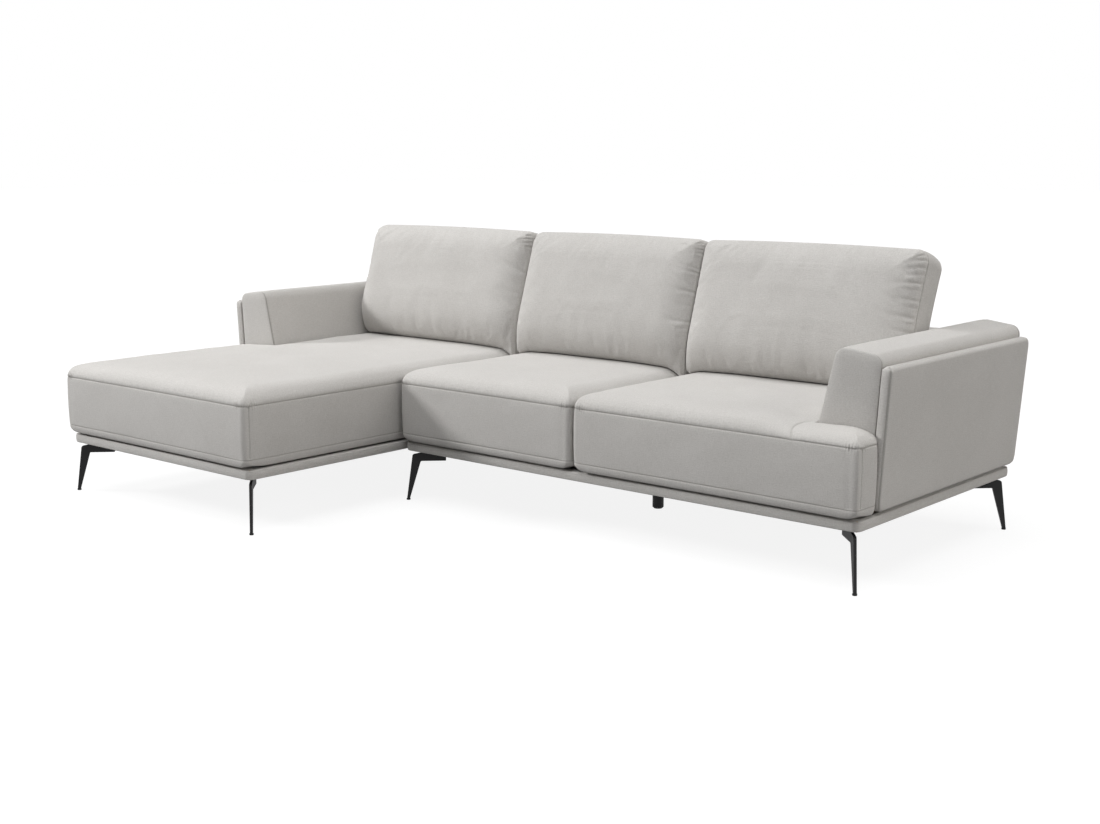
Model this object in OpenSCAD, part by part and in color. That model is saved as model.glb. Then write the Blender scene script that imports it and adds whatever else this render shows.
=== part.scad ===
// Corner sofa in two units that hook together: a two-seat unit on the right and a chaise unit on the left.
// Origin: on the floor, at the centre of the footprint. +X is the right end seen from the front, +Y the back.

/* [Plan] */
// Width of the two-seat unit's plinth, up to the line where the units meet
pair_w = 1752; // [1560:1:2100]
// Width of the chaise unit's plinth, up to the line where the units meet
chaise_w = 990; // [860:5:1150]
// Depth of the two-seat unit's plinth
unit_depth = 962; // [900:1:1050]
// How far the chaise plinth runs on in front of the two-seat unit
reach = 658; // [400:1:850]
// Gap between the plinths of the two units
unit_gap = 10; // [9.5:0.1:14]
// Distance from the plinth's right end to the split between the two seats
split_in = 990; // [880:5:1040]

/* [Base] */
// Clear height under the plinth
leg_h = 175; // [120:1:220]
// Height of the plinth
plinth_h = 30; // [26:1:60]
// Radius of the plinth's upright corners
plinth_r = 24; // [14:1:30]
// Thickness of the padded cloth round the plinth
wrap_t = 8; // [5:0.5:12]
// Width of the flat timber rails
rail_w = 80; // [70:1:95]
// Leg of the triangular glue blocks in the frame's corners
block_w = 60; // [40:1:80]
// Clearance left for glue between two boards
glue_gap = 0.2; // [0.1:0.05:0.4]
// Thickness of the dust cover under the frame
dust_t = 1; // [0.6:0.1:2]
// How far the dust cover stays in from the plinth's faces
dust_in = 14; // [10:1:24]
// Thickness of the spring wire
wire_t = 4; // [3:0.1:4.5]
// Width of a zigzag spring
spring_w = 52; // [40:1:60]
// Length of one full zigzag
spring_pitch = 80; // [50:1:110]
// How far a spring's end lies on a rail
spring_lap = 12; // [8:1:16]
// Springs under each of the two seats
pair_springs = 5; // [3:1:6]
// Springs across the chaise
chaise_springs = 11; // [7:1:13]
// Thickness of the felt between springs and foam
felt_t = 1.5; // [1:0.1:1.6]

/* [Seats] */
// Height of the shadow gap between plinth and seat blocks
shadow_gap = 6; // [6:0.5:15]
// How far the seat blocks stand out in front of and beside the plinth
seat_over = 14; // [5:1:20]
// Gap between neighbouring seat blocks
seat_gap = 6; // [5:0.5:12]
// Height of the lower seam above the block's underside
low_seam = 27; // [15:1:40]
// Height of the top seam above the block's underside
top_seam = 197; // [160:1:230]
// How far the strip under the lower seam draws in
low_in = 12; // [6:1:20]
// Outward swell of the side between the seams
side_swell = 2; // [0:0.5:2.5]
// Depth of the groove that each seam pulls in
seam_dip = 2; // [1:0.5:4]
// How far the middle of each side is drawn in
side_pull = 4; // [0:0.5:8]
// Distance over which the top edge rolls over
roll_w = 80; // [60:1:85]
// Height of the rolled top edge above the seam
roll_h = 50; // [30:1:60]
// Extra height of the crown over the rolled edge
seat_crown = 9; // [3:0.5:15]
// How much lower a block's top lies in front of the arm
ear_drop = 14; // [0:1:20]
// Radius of the blocks' upright corners
seat_r = 28; // [20:1:45]
// Dip of the seat where it meets an arm
arm_dip = 5; // [2:1:20]

/* [Back cushions] */
// Lean of the back cushions from the upright, in degrees
back_lean = 19; // [10:0.1:20]
// Distance of the cushions' front seam behind the plinth front, at seat height
back_y = 545; // [500:5:580]
// Height of a back cushion along its lean
cushion_h = 418; // [390:1:460]
// Depth of the boxed side of a back cushion
gusset_d = 95; // [70:1:110]
// Rise of the front panel just inside its seam
front_rise = 22; // [12:1:30]
// Further swell of the front panel
front_belly = 36; // [20:1:45]
// Rise of the rear panel just inside its seam
rear_rise = 18; // [8:1:20]
// Further swell of the rear panel
rear_belly = 30; // [8:1:35]
// Distance over which a panel rises from its seam
cushion_roll = 60; // [40:1:75]
// Radius of the upper corners of a back cushion's panels
cushion_r = 62; // [40:1:75]
// Radius of the lower corners of a back cushion's panels
cushion_low_r = 26; // [20:1:40]
// Distance of the outermost cushion seams from the plinth's ends
cushion_in = 160; // [148:1:175]
// How far the sides of a back cushion draw in between the corners
cushion_pull = 9; // [0:1:14]
// Upward swell of a back cushion's top edge
cushion_top_swell = 5; // [0:1:12]
// Outward swell of the boxed side
gusset_swell = 4; // [2:0.5:4]
// Gap between the seams of neighbouring back cushions
cushion_gap = 11; // [10:1:20]
// How far the gaps between the cushions lie to the right of the gaps between the seats
cushion_shift = 15; // [0:1:18]
// Clearance between soft pieces that touch
soft_gap = 0.35; // [0.3:0.05:1]

/* [Arms] */
// Distance of the arm fronts behind the two-seat plinth front
arm_in_y = 92; // [75:1:130]
// Height of the arm pad's top at its inner edge
arm_top = 664; // [600:1:690]
// How far the arm pad's top falls towards the wing panel
arm_fall = 18; // [0:1:24]
// Inset of the arm pad's inner face at seat height, from the plinth's end
arm_low_in = 194; // [180:1:205]
// Inset of the arm pad's inner face at its top
arm_top_in = 138; // [125:1:150]
// Height where the arm pad's inner face starts to lean
arm_knee = 430; // [400:1:450]
// Height of the arm pad's lower edge in front of its rear end, which reaches down to the plinth
arm_pad_z = 300; // [280:1:350]
// Radius of the arm pad's top corners
arm_r = 32; // [20:1:45]
// Thickness of the outer wing panel
wing_t = 32; // [22:1:36]
// Height of the wing panel's lower edge above the plinth
wing_gap = 8; // [6:0.5:14]
// Height of the wing panel's top
wing_top = 617; // [590:1:650]
// How far the wing panel's lower edge stands out beside the plinth
wing_over = 10; // [6:1:20]
// Outward lean of the wing panel, in degrees
wing_lean = 3.4; // [2:0.1:4]
// Radius of the wing panel's corners
wing_r = 26; // [15:1:40]
// How far arms and back stand out behind the plinth
back_over = 12; // [6:1:20]
// Backward lean of the rear faces of arms and back, in degrees
back_tilt = 2; // [0:0.1:4]

/* [Back] */
// Height of the top of the upholstered back
back_top = 625; // [590:1:635]
// Radius of the back's top edges
back_r = 28; // [15:1:35]
// Depth of the back frame's posts
post_d = 50; // [40:1:52]
// Width of the back frame's posts and height of its top rail
post_w = 45; // [35:1:60]
// Thickness of the foam over the top of the back and arm frames
frame_cover = 42; // [36:1:60]
// Thickness of the arm frame
arm_frame_t = 60; // [45:1:64]
// Inset of the arm frame's outer face from the plinth's end
arm_frame_in = 40; // [36:1:45]
// Distance of the arm frame's posts from the arm's ends
arm_post_in = 40; // [30:1:80]

/* [Legs] */
// Length of the leg's arm under the plinth, to the knee
leg_arm = 115; // [100:1:125]
// Height of the leg's arm at the knee
leg_arm_h = 23; // [18:1:30]
// How far the knee's top lies under the plinth
knee_drop = 16; // [8:1:24]
// Length over which the arm's top slopes down to the knee
knee_slope = 60; // [30:1:70]
// Depth of the leg at its knee
leg_knee_d = 28; // [20:1:34]
// Depth of the leg at its foot
leg_foot_d = 10; // [8:0.5:14]
// Thickness of the leg's metal
leg_t = 9; // [6:0.5:12]
// Diagonal inset of the knee from the plinth's corner
knee_in = 26; // [22:1:34]
// Diagonal inset of the foot from the plinth's corner
foot_in = 5; // [3:1:24]
// Thickness of the leg's screw plate
plate_t = 3; // [2:0.5:4]
// Width of the leg's screw plate
plate_w = 44; // [40:1:48]
// Radius of a leg screw's shank
screw_r = 2.5; // [2:0.1:3]
// Length of a leg screw's shank in the wood
screw_l = 24; // [16:1:25]
// Radius of the plastic glides
glide_r = 7; // [6.5:0.1:10]
// Thickness of the plastic glides
glide_t = 5; // [4:0.5:8]

/* [Middle support] */
// Distance from the plinth's right end to the support leg
support_in = 1014; // [1000:1:1100]
// Distance of the support leg behind the plinth front
support_y = 471; // [400:1:540]
// Radius of the support leg
support_r = 19; // [16:0.5:25]
// Height of the support's screw foot
foot_h = 14; // [10:1:20]
// Radius of the screw foot's stud
stud_r = 5; // [4:0.5:6]
// Running clearance round the stud
stud_gap = 0.05; // [0.02:0.01:0.1]
// Length of the stud above the foot
stud_l = 46; // [30:1:60]

/* [Hooks] */
// Thickness of the hook plates
hook_t = 2; // [1.5:0.1:2.2]
// Clearance between the hooked plates
hook_gap = 0.3; // [0.2:0.05:0.5]
// Length of each hook along the side
hook_l = 90; // [60:1:140]
// Distance of the front hook behind the two-seat plinth front
hook_y1 = 190; // [120:10:300]
// Distance of the rear hook behind the two-seat plinth front
hook_y2 = 700; // [500:10:800]
// Depth of the hooks' engagement
hook_drop = 12; // [8:1:14]

/* [Hidden] */
$fn = 48;

cloth = [0.72, 0.70, 0.67];
timber = [0.80, 0.65, 0.45];
steel = [0.70, 0.71, 0.73];
black = [0.07, 0.07, 0.08];
charcoal = [0.20, 0.20, 0.21];

// Plan lines. The footprint's centre is the origin. The arm's top reaches furthest back.
z_deck = leg_h + plinth_h;
back_slant = (arm_top - z_deck) * tan(back_tilt);
x_end = (pair_w + chaise_w) / 2;
x_joint = x_end - pair_w;
x_split = x_end - split_in;
y_front = (reach + seat_over - unit_depth - back_over - back_slant) / 2;
y_back = y_front + unit_depth;
y_rear = y_back + back_over;
pair = [x_joint + unit_gap / 2, x_end, y_front, y_back];
chaise = [-x_end, x_joint - unit_gap / 2, y_front - reach, y_back];

// Heights
z_base = leg_h;
z_seat = z_deck + shadow_gap;
z_rest = z_seat + top_seam + roll_h + seat_crown + soft_gap;
z_plate = leg_h - dust_t;

// Arm and back lines. The back cushions are fullest this share of the way up.
full_at = 0.38;
y_arm = y_front + arm_in_y;
z_wing = z_deck + wing_gap;
y_cushion_rear = y_front + back_y + gusset_d * cos(back_lean);
y_back_face = y_cushion_rear + soft_gap / cos(back_lean)
    + (rear_rise + rear_belly) * (cos(back_lean) + full_at * sin(back_lean) * tan(back_lean));
post_y = y_back - wrap_t - rail_w / 2;

// How far in from the plinth's end the arm pad's inner face lies at height z
function arm_in(z) = arm_low_in + (arm_top_in - arm_low_in)
    * max(0, min(1, (z - arm_knee) / (arm_top - arm_knee)));

// How far out from the plinth's end the wing panel's inner face lies at height z
function wing_face(z) = wing_over + (z - z_wing) * tan(wing_lean) - wing_t / cos(wing_lean);

// Rear face of the arms and the back at height z
function rear_y(z) = y_rear + (z - z_deck) * tan(back_tilt);

// Points of a polygon whose corners are rounded. Each corner is [x, y, radius].
function rounded(corners, steps = 8) = [
    for (i = [0 : len(corners) - 1])
        let (
            here = [corners[i][0], corners[i][1]],
            last = corners[(i + len(corners) - 1) % len(corners)],
            next = corners[(i + 1) % len(corners)],
            a = [last[0], last[1]] - here,
            b = [next[0], next[1]] - here,
            ua = a / norm(a),
            ub = b / norm(b),
            half = acos(ua * ub) / 2,
            centre = here + (ua + ub) / norm(ua + ub) * corners[i][2] / sin(half),
            start = here + ua * corners[i][2] / tan(half) - centre,
            end = here + ub * corners[i][2] / tan(half) - centre,
            turn = atan2(start[0] * end[1] - start[1] * end[0], start * end)
        )
        each corners[i][2] == 0 ? [here] : [
            for (s = [0 : steps])
                let (t = turn * s / steps)
                centre + [start[0] * cos(t) - start[1] * sin(t), start[0] * sin(t) + start[1] * cos(t)]
        ]
];

// A plan rectangle [x0, x1, y0, y1] drawn in by d, with rounded corners
module plan_rect(box, d = 0, r = 0) {
    x0 = box[0] + d;
    x1 = box[1] - d;
    y0 = box[2] + d;
    y1 = box[3] - d;
    polygon(rounded([[x0, y0, r], [x1, y0, r], [x1, y1, r], [x0, y1, r]]));
}

// A board between two corners
module board(low, high) {
    translate(low)
        cube(high - low);
}

// Soft blocks. A block is a lattice of cells seen from its broad face. Each lattice line (i, j) runs
// through levels k from the far face, up the side and onto the near face, and place(i, j, k) puts it.
function quad(a, b, c, d) = [[a, b, c], [a, c, d]];

function lattice_faces(nx, ny, top, inside) =
    let (
        at = function (i, j, k) (k * ny + j) * nx + i,
        open = function (i, j) i < 0 || j < 0 || i > nx - 2 || j > ny - 2 || !inside(i, j)
    ) [
        for (i = [0 : nx - 2], j = [0 : ny - 2])
            if (inside(i, j)) each concat(
                quad(at(i, j, top), at(i, j + 1, top), at(i + 1, j + 1, top), at(i + 1, j, top)),
                quad(at(i, j, 0), at(i + 1, j, 0), at(i + 1, j + 1, 0), at(i, j + 1, 0)),
                [for (k = [0 : top - 1]) each concat(
                    open(i, j - 1) ? quad(at(i, j, k), at(i, j, k + 1), at(i + 1, j, k + 1), at(i + 1, j, k)) : [],
                    open(i + 1, j) ? quad(at(i + 1, j, k), at(i + 1, j, k + 1),
                                          at(i + 1, j + 1, k + 1), at(i + 1, j + 1, k)) : [],
                    open(i, j + 1) ? quad(at(i + 1, j + 1, k), at(i + 1, j + 1, k + 1),
                                          at(i, j + 1, k + 1), at(i, j + 1, k)) : [],
                    open(i - 1, j) ? quad(at(i, j + 1, k), at(i, j + 1, k + 1),
                                          at(i, j, k + 1), at(i, j, k)) : []
                )]
            )
    ];

module lattice(nx, ny, top, inside, place) {
    polyhedron(
        points = [for (k = [0 : top], j = [0 : ny - 1], i = [0 : nx - 1]) place(i, j, k)],
        faces = lattice_faces(nx, ny, top, inside)
    );
}

// Lattice lines close to an edge, as shares of the distance over which the edge rolls
edge_steps = [0, 0.1, 0.3, 0.6, 1];

function inner_steps(a, b, n) = [for (s = [1 : n - 1]) a + (b - a) * s / n];

function whole_steps(a, b, roll, n) = concat(
    [for (s = edge_steps) a + s * roll],
    inner_steps(a + roll, b - roll, n),
    [for (s = [4 : -1 : 0]) b - edge_steps[s] * roll]
);

// Quarter-ellipse rise from 0 at the edge to 1 at distance 1
function rise(t) = t >= 1 ? 1 : sqrt(1 - (1 - t) * (1 - t));

// Place of a lattice line in a rectangle w by d with corner radius r, drawn in by an inset at its rim
function in_plan(x, y, w, d, r, inset) =
    let (
        centre = [max(r, min(w - r, x)), max(r, min(d - r, y))],
        v = [x, y] - centre,
        far = max(abs(v[0]), abs(v[1])),
        long = norm(v)
    )
    long == 0 ? [x, y] : centre + v / long * (far - inset * far / r);

// How far a side is drawn in beside a point: most at its middle, nothing at its corners
function side_draw(x, y, w, d, pull) =
    let (tx = x / w, ty = y / d)
    min(x, w - x) <= min(y, d - y) ? pull * 4 * ty * (1 - ty) : pull * 4 * tx * (1 - tx);

// A seat block: w wide over its front, arm_w narrower behind arm_d where an arm stands beside it. Its rear
// sides don't swell, because they stand against the back and the arm.
module seat_block(w, d, arm_w = 0, arm_d = 0) {
    wa = w - arm_w;
    xs = arm_w == 0 ? whole_steps(0, w, roll_w, 4) : concat(
        [for (s = edge_steps) s * roll_w],
        inner_steps(roll_w, wa, 4),
        [wa, (wa + w - roll_w) / 2],
        [for (s = [4 : -1 : 0]) w - edge_steps[s] * roll_w]
    );
    ys = arm_w == 0 ? whole_steps(0, d, roll_w, 4) : concat(
        [for (s = edge_steps) s * roll_w],
        arm_d > 3 * roll_w ? inner_steps(roll_w, arm_d, 3) : [],
        [arm_d],
        inner_steps(arm_d, d - roll_w, 4),
        [for (s = [4 : -1 : 0]) d - edge_steps[s] * roll_w]
    );
    // Height above the underside and inset, up the side
    rim = [
        [0, low_in], [low_seam, seam_dip], [low_seam + 20, 0], [(low_seam + top_seam) / 2, -side_swell],
        [top_seam - 20, 0], [top_seam, seam_dip]
    ];
    top = len(rim) - 1;
    by_arm = function (i, j) arm_w > 0 && xs[i] >= wa && ys[j] >= arm_d;
    place = function (i, j, k)
        let (
            x = xs[i],
            y = ys[j],
            on_rim = x == 0 || y == 0 || x == w || y == d,
            here_d = x > wa && arm_w > 0 ? arm_d : d,
            inset = rim[k][1] + side_draw(x, y, w, here_d, side_pull),
            edge = min(x, w - x, y, d - y),
            beside = arm_w == 0 ? roll_w : max(wa - x, arm_d - y),
            ear = arm_w == 0 ? 0 : max(0, min(1, 0.5 + (x - wa) / roll_w)),
            height = k < top ? rim[k][0] : top_seam + (roll_h - ear_drop * ear) * rise(edge / roll_w)
                + seat_crown * sin(90 * min(1, min(x, w - x, y) / 260))
                - (on_rim ? 0 : arm_dip * (1 - rise(max(0, beside) / 45))),
            p = in_plan(x, y, w, here_d, seat_r, inset)
        )
        [p[0], min(here_d, p[1]), height];
    color(cloth)
        lattice(len(xs), len(ys), top, function (i, j) !by_arm(i, j), place);
}

// A back cushion from x0 to x1, leaning on the back panel and flat where it rests on the seat
module back_cushion(x0, x1) {
    w = x1 - x0;
    us = whole_steps(0, w, cushion_roll, 4);
    vs = whole_steps(0, cushion_h, cushion_roll, 3);
    rim = [[0, seam_dip], [gusset_d * 0.3, -gusset_swell], [gusset_d * 0.7, -gusset_swell], [gusset_d, seam_dip]];
    top = len(rim) - 1;
    place = function (i, j, k)
        let (
            u = us[i],
            v = vs[j],
            on_rim = u == 0 || v == 0 || u == w || v == cushion_h,
            tu = u / w,
            tv = v / cushion_h,
            beside = min(u, w - u) <= min(v, cushion_h - v),
            draw = beside ? cushion_pull * 4 * tv * (1 - tv)
                : tv > 0.5 ? -cushion_top_swell * 4 * tu * (1 - tu) : 0,
            edge = rise(min(u, w - u, v, cushion_h - v) / cushion_roll),
            across = 1 - pow(abs(2 * u / w - 1), 2.2),
            up = sin(180 * pow(tv, log(0.5) / log(full_at))),
            corner_r = tv > 0.5 ? cushion_r : cushion_low_r,
            p = in_plan(u, v, w, cushion_h, corner_r, rim[k][1] + draw),
            rest_v = max(0, p[1]),
            depth = on_rim ? rim[k][0] : k == top ? gusset_d + front_rise * edge + front_belly * across * up
                : k == 0 ? -rear_rise * edge - rear_belly * across * up : rim[k][0],
            y = y_cushion_rear + rest_v * sin(back_lean) - depth * cos(back_lean),
            z = z_rest + rest_v * cos(back_lean) + depth * sin(back_lean) * tv,
            side = x_end - arm_in(z) - soft_gap - gusset_swell,
            squeeze = pow(tu, 3) * max(0, x1 - side) - pow(1 - tu, 3) * max(0, -side - x0)
        )
        [x0 + p[0] - squeeze, y, z];
    color(cloth)
        lattice(len(us), len(vs), top, function (i, j) true, place);
}

// Base frame of a unit
module rail(low, high, unit) {
    color(timber)
        difference() {
            board([low[0], low[1], z_base], [high[0], high[1], z_deck]);
            leg_screw_places(unit)
                translate([0, 0, -dust_t])
                    cylinder(h = screw_l + dust_t + 1, r = screw_r + 0.1);
        }
}

module front_rail(u) {
    rail([u[0] + wrap_t, u[2] + wrap_t], [u[1] - wrap_t, u[2] + wrap_t + rail_w], u);
}

module back_rail(u) {
    rail([u[0] + wrap_t, u[3] - wrap_t - rail_w], [u[1] - wrap_t, u[3] - wrap_t], u);
}

// A rail that runs front to back from x
module cross_rail(u, x) {
    clear = wrap_t + rail_w + glue_gap;
    rail([x, u[2] + clear], [x + rail_w, u[3] - clear], u);
}

module corner_blocks(u) {
    near = wrap_t + rail_w + glue_gap;
    for (sx = [0, 1], sy = [0, 1]) {
        dx = sx == 0 ? 1 : -1;
        dy = sy == 0 ? 1 : -1;
        color(timber)
            translate([u[sx] + dx * near, u[2 + sy] + dy * near, z_base])
                linear_extrude(plinth_h)
                    polygon([[0, 0], [dx * block_w, 0], [0, dy * block_w]]);
    }
}

// One side of the padded cloth round a plinth; side is 0 front, 1 back, 2 left or 3 right
module plinth_wrap(u, side) {
    near = u[2] + plinth_r;
    far = u[3] - plinth_r;
    strip = [
        [u[0], u[1], u[2], near],
        [u[0], u[1], far, u[3]],
        [u[0], u[0] + wrap_t, near + glue_gap, far - glue_gap],
        [u[1] - wrap_t, u[1], near + glue_gap, far - glue_gap]
    ][side];
    color(cloth)
        translate([0, 0, z_base])
            linear_extrude(plinth_h)
                intersection() {
                    difference() {
                        plan_rect(u, 0, plinth_r);
                        plan_rect(u, wrap_t - glue_gap / 2);
                    }
                    plan_rect(strip);
                }
}

module dust_cover(u) {
    color(charcoal)
        difference() {
            board([u[0] + dust_in, u[2] + dust_in, z_plate], [u[1] - dust_in, u[3] - dust_in, z_base]);
            leg_screw_places(u)
                translate([0, 0, -dust_t])
                    cylinder(h = 3 * dust_t, r = screw_r + 1);
        }
}

// A flat zigzag spring that runs along +X for a length, centred on y = 0. It is widened along y, so that
// its slanted runs are about as thick as the wire.
module zigzag(length) {
    waves = floor(length / spring_pitch);
    step = length / waves / 2;
    swing = (spring_w - wire_t) / 2;
    line = [
        [0, 0],
        for (i = [0 : 2 * waves - 1]) [(i + 0.5) * step, swing * (i % 2 == 0 ? 1 : -1)],
        [length, 0]
    ];
    color(steel)
        linear_extrude(wire_t)
            polygon(concat(
                [for (p = line) p + [0, wire_t * 0.9]],
                [for (i = [len(line) - 1 : -1 : 0]) line[i] - [0, wire_t * 0.9]]
            ));
}

// Springs that run front to back in a bay from x0 to x1
module bay_springs(u, x0, x1, count) {
    run_y = u[2] + wrap_t + rail_w - spring_lap;
    length = u[3] - wrap_t - rail_w + spring_lap - run_y;
    step = (x1 - x0) / count;
    for (i = [0 : count - 1])
        translate([x0 + step * (i + 0.5), run_y, z_deck])
            rotate([0, 0, 90])
                zigzag(length);
}

// Springs that run across from x0 to x1 between y0 and y1
module cross_springs(x0, x1, y0, y1, count) {
    step = (y1 - y0) / count;
    for (i = [0 : count - 1])
        translate([x0 - spring_lap, y0 + step * (i + 0.5), z_deck])
            zigzag(x1 - x0 + 2 * spring_lap);
}

module felt(x0, x1, y0) {
    z_felt = z_deck + wire_t + 0.1;
    color(charcoal)
        board([x0, y0, z_felt], [x1, y_back_face - wrap_t, z_felt + felt_t]);
}

// Legs stand in the diagonals of a unit's corners, on a local +X that points out of the corner
module at_corner(u, sx, sy) {
    translate([u[sx], u[2 + sy], 0])
        rotate([0, 0, [[-135, 135], [-45, 45]][sx][sy]])
            children();
}

leg_in = knee_in + leg_arm;

// Rows of screws through a leg's plate: diagonal inset, and distance from the diagonal
screw_rows = [knee_in + 39, knee_in + leg_arm - 16];
screw_side = 15;

module leg_screw_places(u) {
    for (sx = [0, 1], sy = [0, 1])
        at_corner(u, sx, sy)
            for (row = screw_rows, side = [-1, 1])
                translate([-row, side * screw_side, z_base])
                    children();
}

module leg(u, sx, sy) {
    z_arm = z_plate - plate_t;
    z_knee = z_base - knee_drop;
    color(black)
        at_corner(u, sx, sy) {
            translate([0, leg_t / 2, 0])
                rotate([90, 0, 0])
                    linear_extrude(leg_t)
                        polygon(rounded([
                            [-leg_in, z_knee - leg_arm_h, 3], [-knee_in - leg_knee_d, z_knee - leg_arm_h, 5],
                            [-foot_in - leg_foot_d, glide_t, 0], [-foot_in, glide_t, 0],
                            [-knee_in, z_knee, 8], [-knee_in - knee_slope, z_arm, 10], [-leg_in, z_arm, 0]
                        ]));
            difference() {
                translate([-leg_in, -plate_w / 2, z_arm])
                    cube([leg_arm - 22, plate_w, plate_t]);
                for (row = screw_rows, side = [-1, 1])
                    translate([-row, side * screw_side, z_arm - 1])
                        cylinder(h = plate_t + 2, r = screw_r + 0.3);
            }
        }
}

module glides(u) {
    color(charcoal)
        for (sx = [0, 1], sy = [0, 1])
            at_corner(u, sx, sy)
                translate([-foot_in - leg_foot_d / 2, 0, 0]) {
                    cylinder(h = 1, r1 = glide_r - 1, r2 = glide_r);
                    translate([0, 0, 1])
                        cylinder(h = glide_t - 1, r = glide_r);
                }
}

module leg_screws(u) {
    head_h = 2.4;
    color(steel)
        leg_screw_places(u) {
            translate([0, 0, -dust_t - plate_t - head_h])
                cylinder(h = head_h, r = screw_r + 1.7);
            translate([0, 0, -dust_t - plate_t])
                cylinder(h = plate_t + dust_t + screw_l, r = screw_r);
        }
}

// Back of a unit between x0 and x1, on n posts
function back_post_xs(x0, x1, n) = [
    for (i = [0 : n - 1]) x0 + post_w + (x1 - x0 - 3 * post_w) * i / (n - 1)
];

module back_frame(x0, x1, n) {
    z_rail = back_top - frame_cover - post_w;
    y0 = post_y - post_d / 2;
    y1 = post_y + post_d / 2;
    color(timber) {
        for (x = back_post_xs(x0, x1, n))
            board([x, y0, z_deck], [x + post_w, y1, z_rail - glue_gap]);
        board([x0 + post_w, y0, z_rail], [x1 - post_w, y1, z_rail + post_w]);
    }
}

module back_panel(x0, x1) {
    frame_x0 = max(x0, -x_end + arm_low_in) + post_w;
    frame_x1 = min(x1, x_end - arm_low_in) - post_w;
    lean_in = (back_top - z_rest) * tan(back_lean);
    side = function (z) x_end - arm_in(z) - soft_gap;
    color(cloth)
        difference() {
            intersection() {
                translate([-x_end, 0, 0])
                    rotate([90, 0, 90])
                        linear_extrude(2 * x_end)
                            polygon(rounded([
                                [y_back_face, z_seat, 0], [rear_y(z_seat), z_seat, 0],
                                [rear_y(back_top), back_top, back_r],
                                [y_back_face + lean_in, back_top, back_r], [y_back_face, z_rest, 0]
                            ]));
                translate([0, rear_y(back_top) + 1, 0])
                    rotate([90, 0, 0])
                        linear_extrude(rear_y(back_top) - y_back_face + 2)
                            polygon([
                                [max(x0, -side(z_seat)), z_seat - 1], [min(x1, side(z_seat)), z_seat - 1],
                                [min(x1, side(arm_knee)), arm_knee], [min(x1, side(back_top)), back_top + 1],
                                [max(x0, -side(back_top)), back_top + 1], [max(x0, -side(arm_knee)), arm_knee]
                            ]);
            }
            board([frame_x0 - soft_gap, post_y - post_d / 2 - soft_gap, z_deck],
                  [frame_x1 + soft_gap, post_y + post_d / 2 + soft_gap, back_top - frame_cover + soft_gap]);
        }
}

// Right arm. The left one is its mirror image.
arm_frame_x0 = x_end - arm_frame_in - arm_frame_t;
arm_frame_x1 = x_end - arm_frame_in;
arm_frame_y0 = y_arm + arm_post_in;
arm_frame_y1 = y_rear - arm_post_in;
arm_frame_top = arm_top - frame_cover;

module arm_frame() {
    z_rail = arm_frame_top - post_w;
    z_spacer = z_wing + 10;
    spacer_h = arm_pad_z - z_spacer - 5;
    color(timber) {
        for (y = [arm_frame_y0, arm_frame_y1 - post_w])
            board([arm_frame_x0, y, z_deck], [arm_frame_x1, y + post_w, z_rail - glue_gap]);
        board([arm_frame_x0, arm_frame_y0, z_rail], [arm_frame_x1, arm_frame_y1, arm_frame_top]);
        translate([0, arm_frame_y1, 0])
            rotate([90, 0, 0])
                linear_extrude(arm_frame_y1 - arm_frame_y0)
                    polygon([
                        [arm_frame_x1 + glue_gap, z_spacer],
                        [x_end + wing_face(z_spacer) - glue_gap, z_spacer],
                        [x_end + wing_face(z_spacer + spacer_h) - glue_gap, z_spacer + spacer_h],
                        [arm_frame_x1 + glue_gap, z_spacer + spacer_h]
                    ]);
    }
}

module arm_pad() {
    inner = x_end - arm_low_in;
    pad_edge = arm_top - arm_fall;
    y_foot = arm_frame_y1 + soft_gap;
    color(cloth)
        difference() {
            intersection() {
                translate([0, rear_y(arm_top), 0])
                    rotate([90, 0, 0])
                        linear_extrude(rear_y(arm_top) - y_arm)
                            polygon(rounded([
                                [inner, z_seat, 0],
                                [x_end + wing_face(z_seat) - soft_gap, z_seat, 0],
                                [x_end + wing_face(pad_edge) - soft_gap, pad_edge, arm_r],
                                [x_end - arm_top_in, arm_top, arm_r], [inner, arm_knee, 0]
                            ]));
                translate([inner - 1, 0, 0])
                    rotate([90, 0, 90])
                        linear_extrude(arm_low_in + wing_over + wing_t)
                            polygon([
                                [y_arm - 1, arm_pad_z], [y_foot, arm_pad_z],
                                [y_foot, z_seat - 1], [rear_y(z_seat - 1), z_seat - 1],
                                [rear_y(arm_top + 1), arm_top + 1], [y_arm - 1, arm_top + 1]
                            ]);
            }
            board([arm_frame_x0 - soft_gap, arm_frame_y0 - soft_gap, arm_pad_z - 1],
                  [arm_frame_x1 + soft_gap, arm_frame_y1 + soft_gap, arm_frame_top + soft_gap]);
        }
}

module wing_panel() {
    height = (wing_top - z_wing) / cos(wing_lean);
    color(cloth)
        translate([x_end + wing_over, 0, z_wing])
            rotate([0, wing_lean, 0])
                translate([-wing_t, 0, 0])
                    rotate([90, 0, 90])
                        linear_extrude(wing_t)
                            polygon(rounded([
                                [y_arm, 0, wing_r], [rear_y(z_wing), 0, wing_r],
                                [rear_y(wing_top), height, wing_r], [y_arm, height, wing_r * 0.6]
                            ]));
}

// Middle support under the two seats
support_x = x_end - support_in;

module support_leg() {
    bore_l = stud_l + 4;
    color(black)
        translate([support_x, y_front + support_y, 0])
            difference() {
                union() {
                    translate([0, 0, foot_h])
                        cylinder(h = z_plate - foot_h, r = support_r);
                    translate([0, 0, z_plate - 4])
                        cylinder(h = 4, r = support_r + 16);
                }
                translate([0, 0, foot_h - 1])
                    cylinder(h = bore_l + 1, r = stud_r + stud_gap);
            }
}

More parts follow.
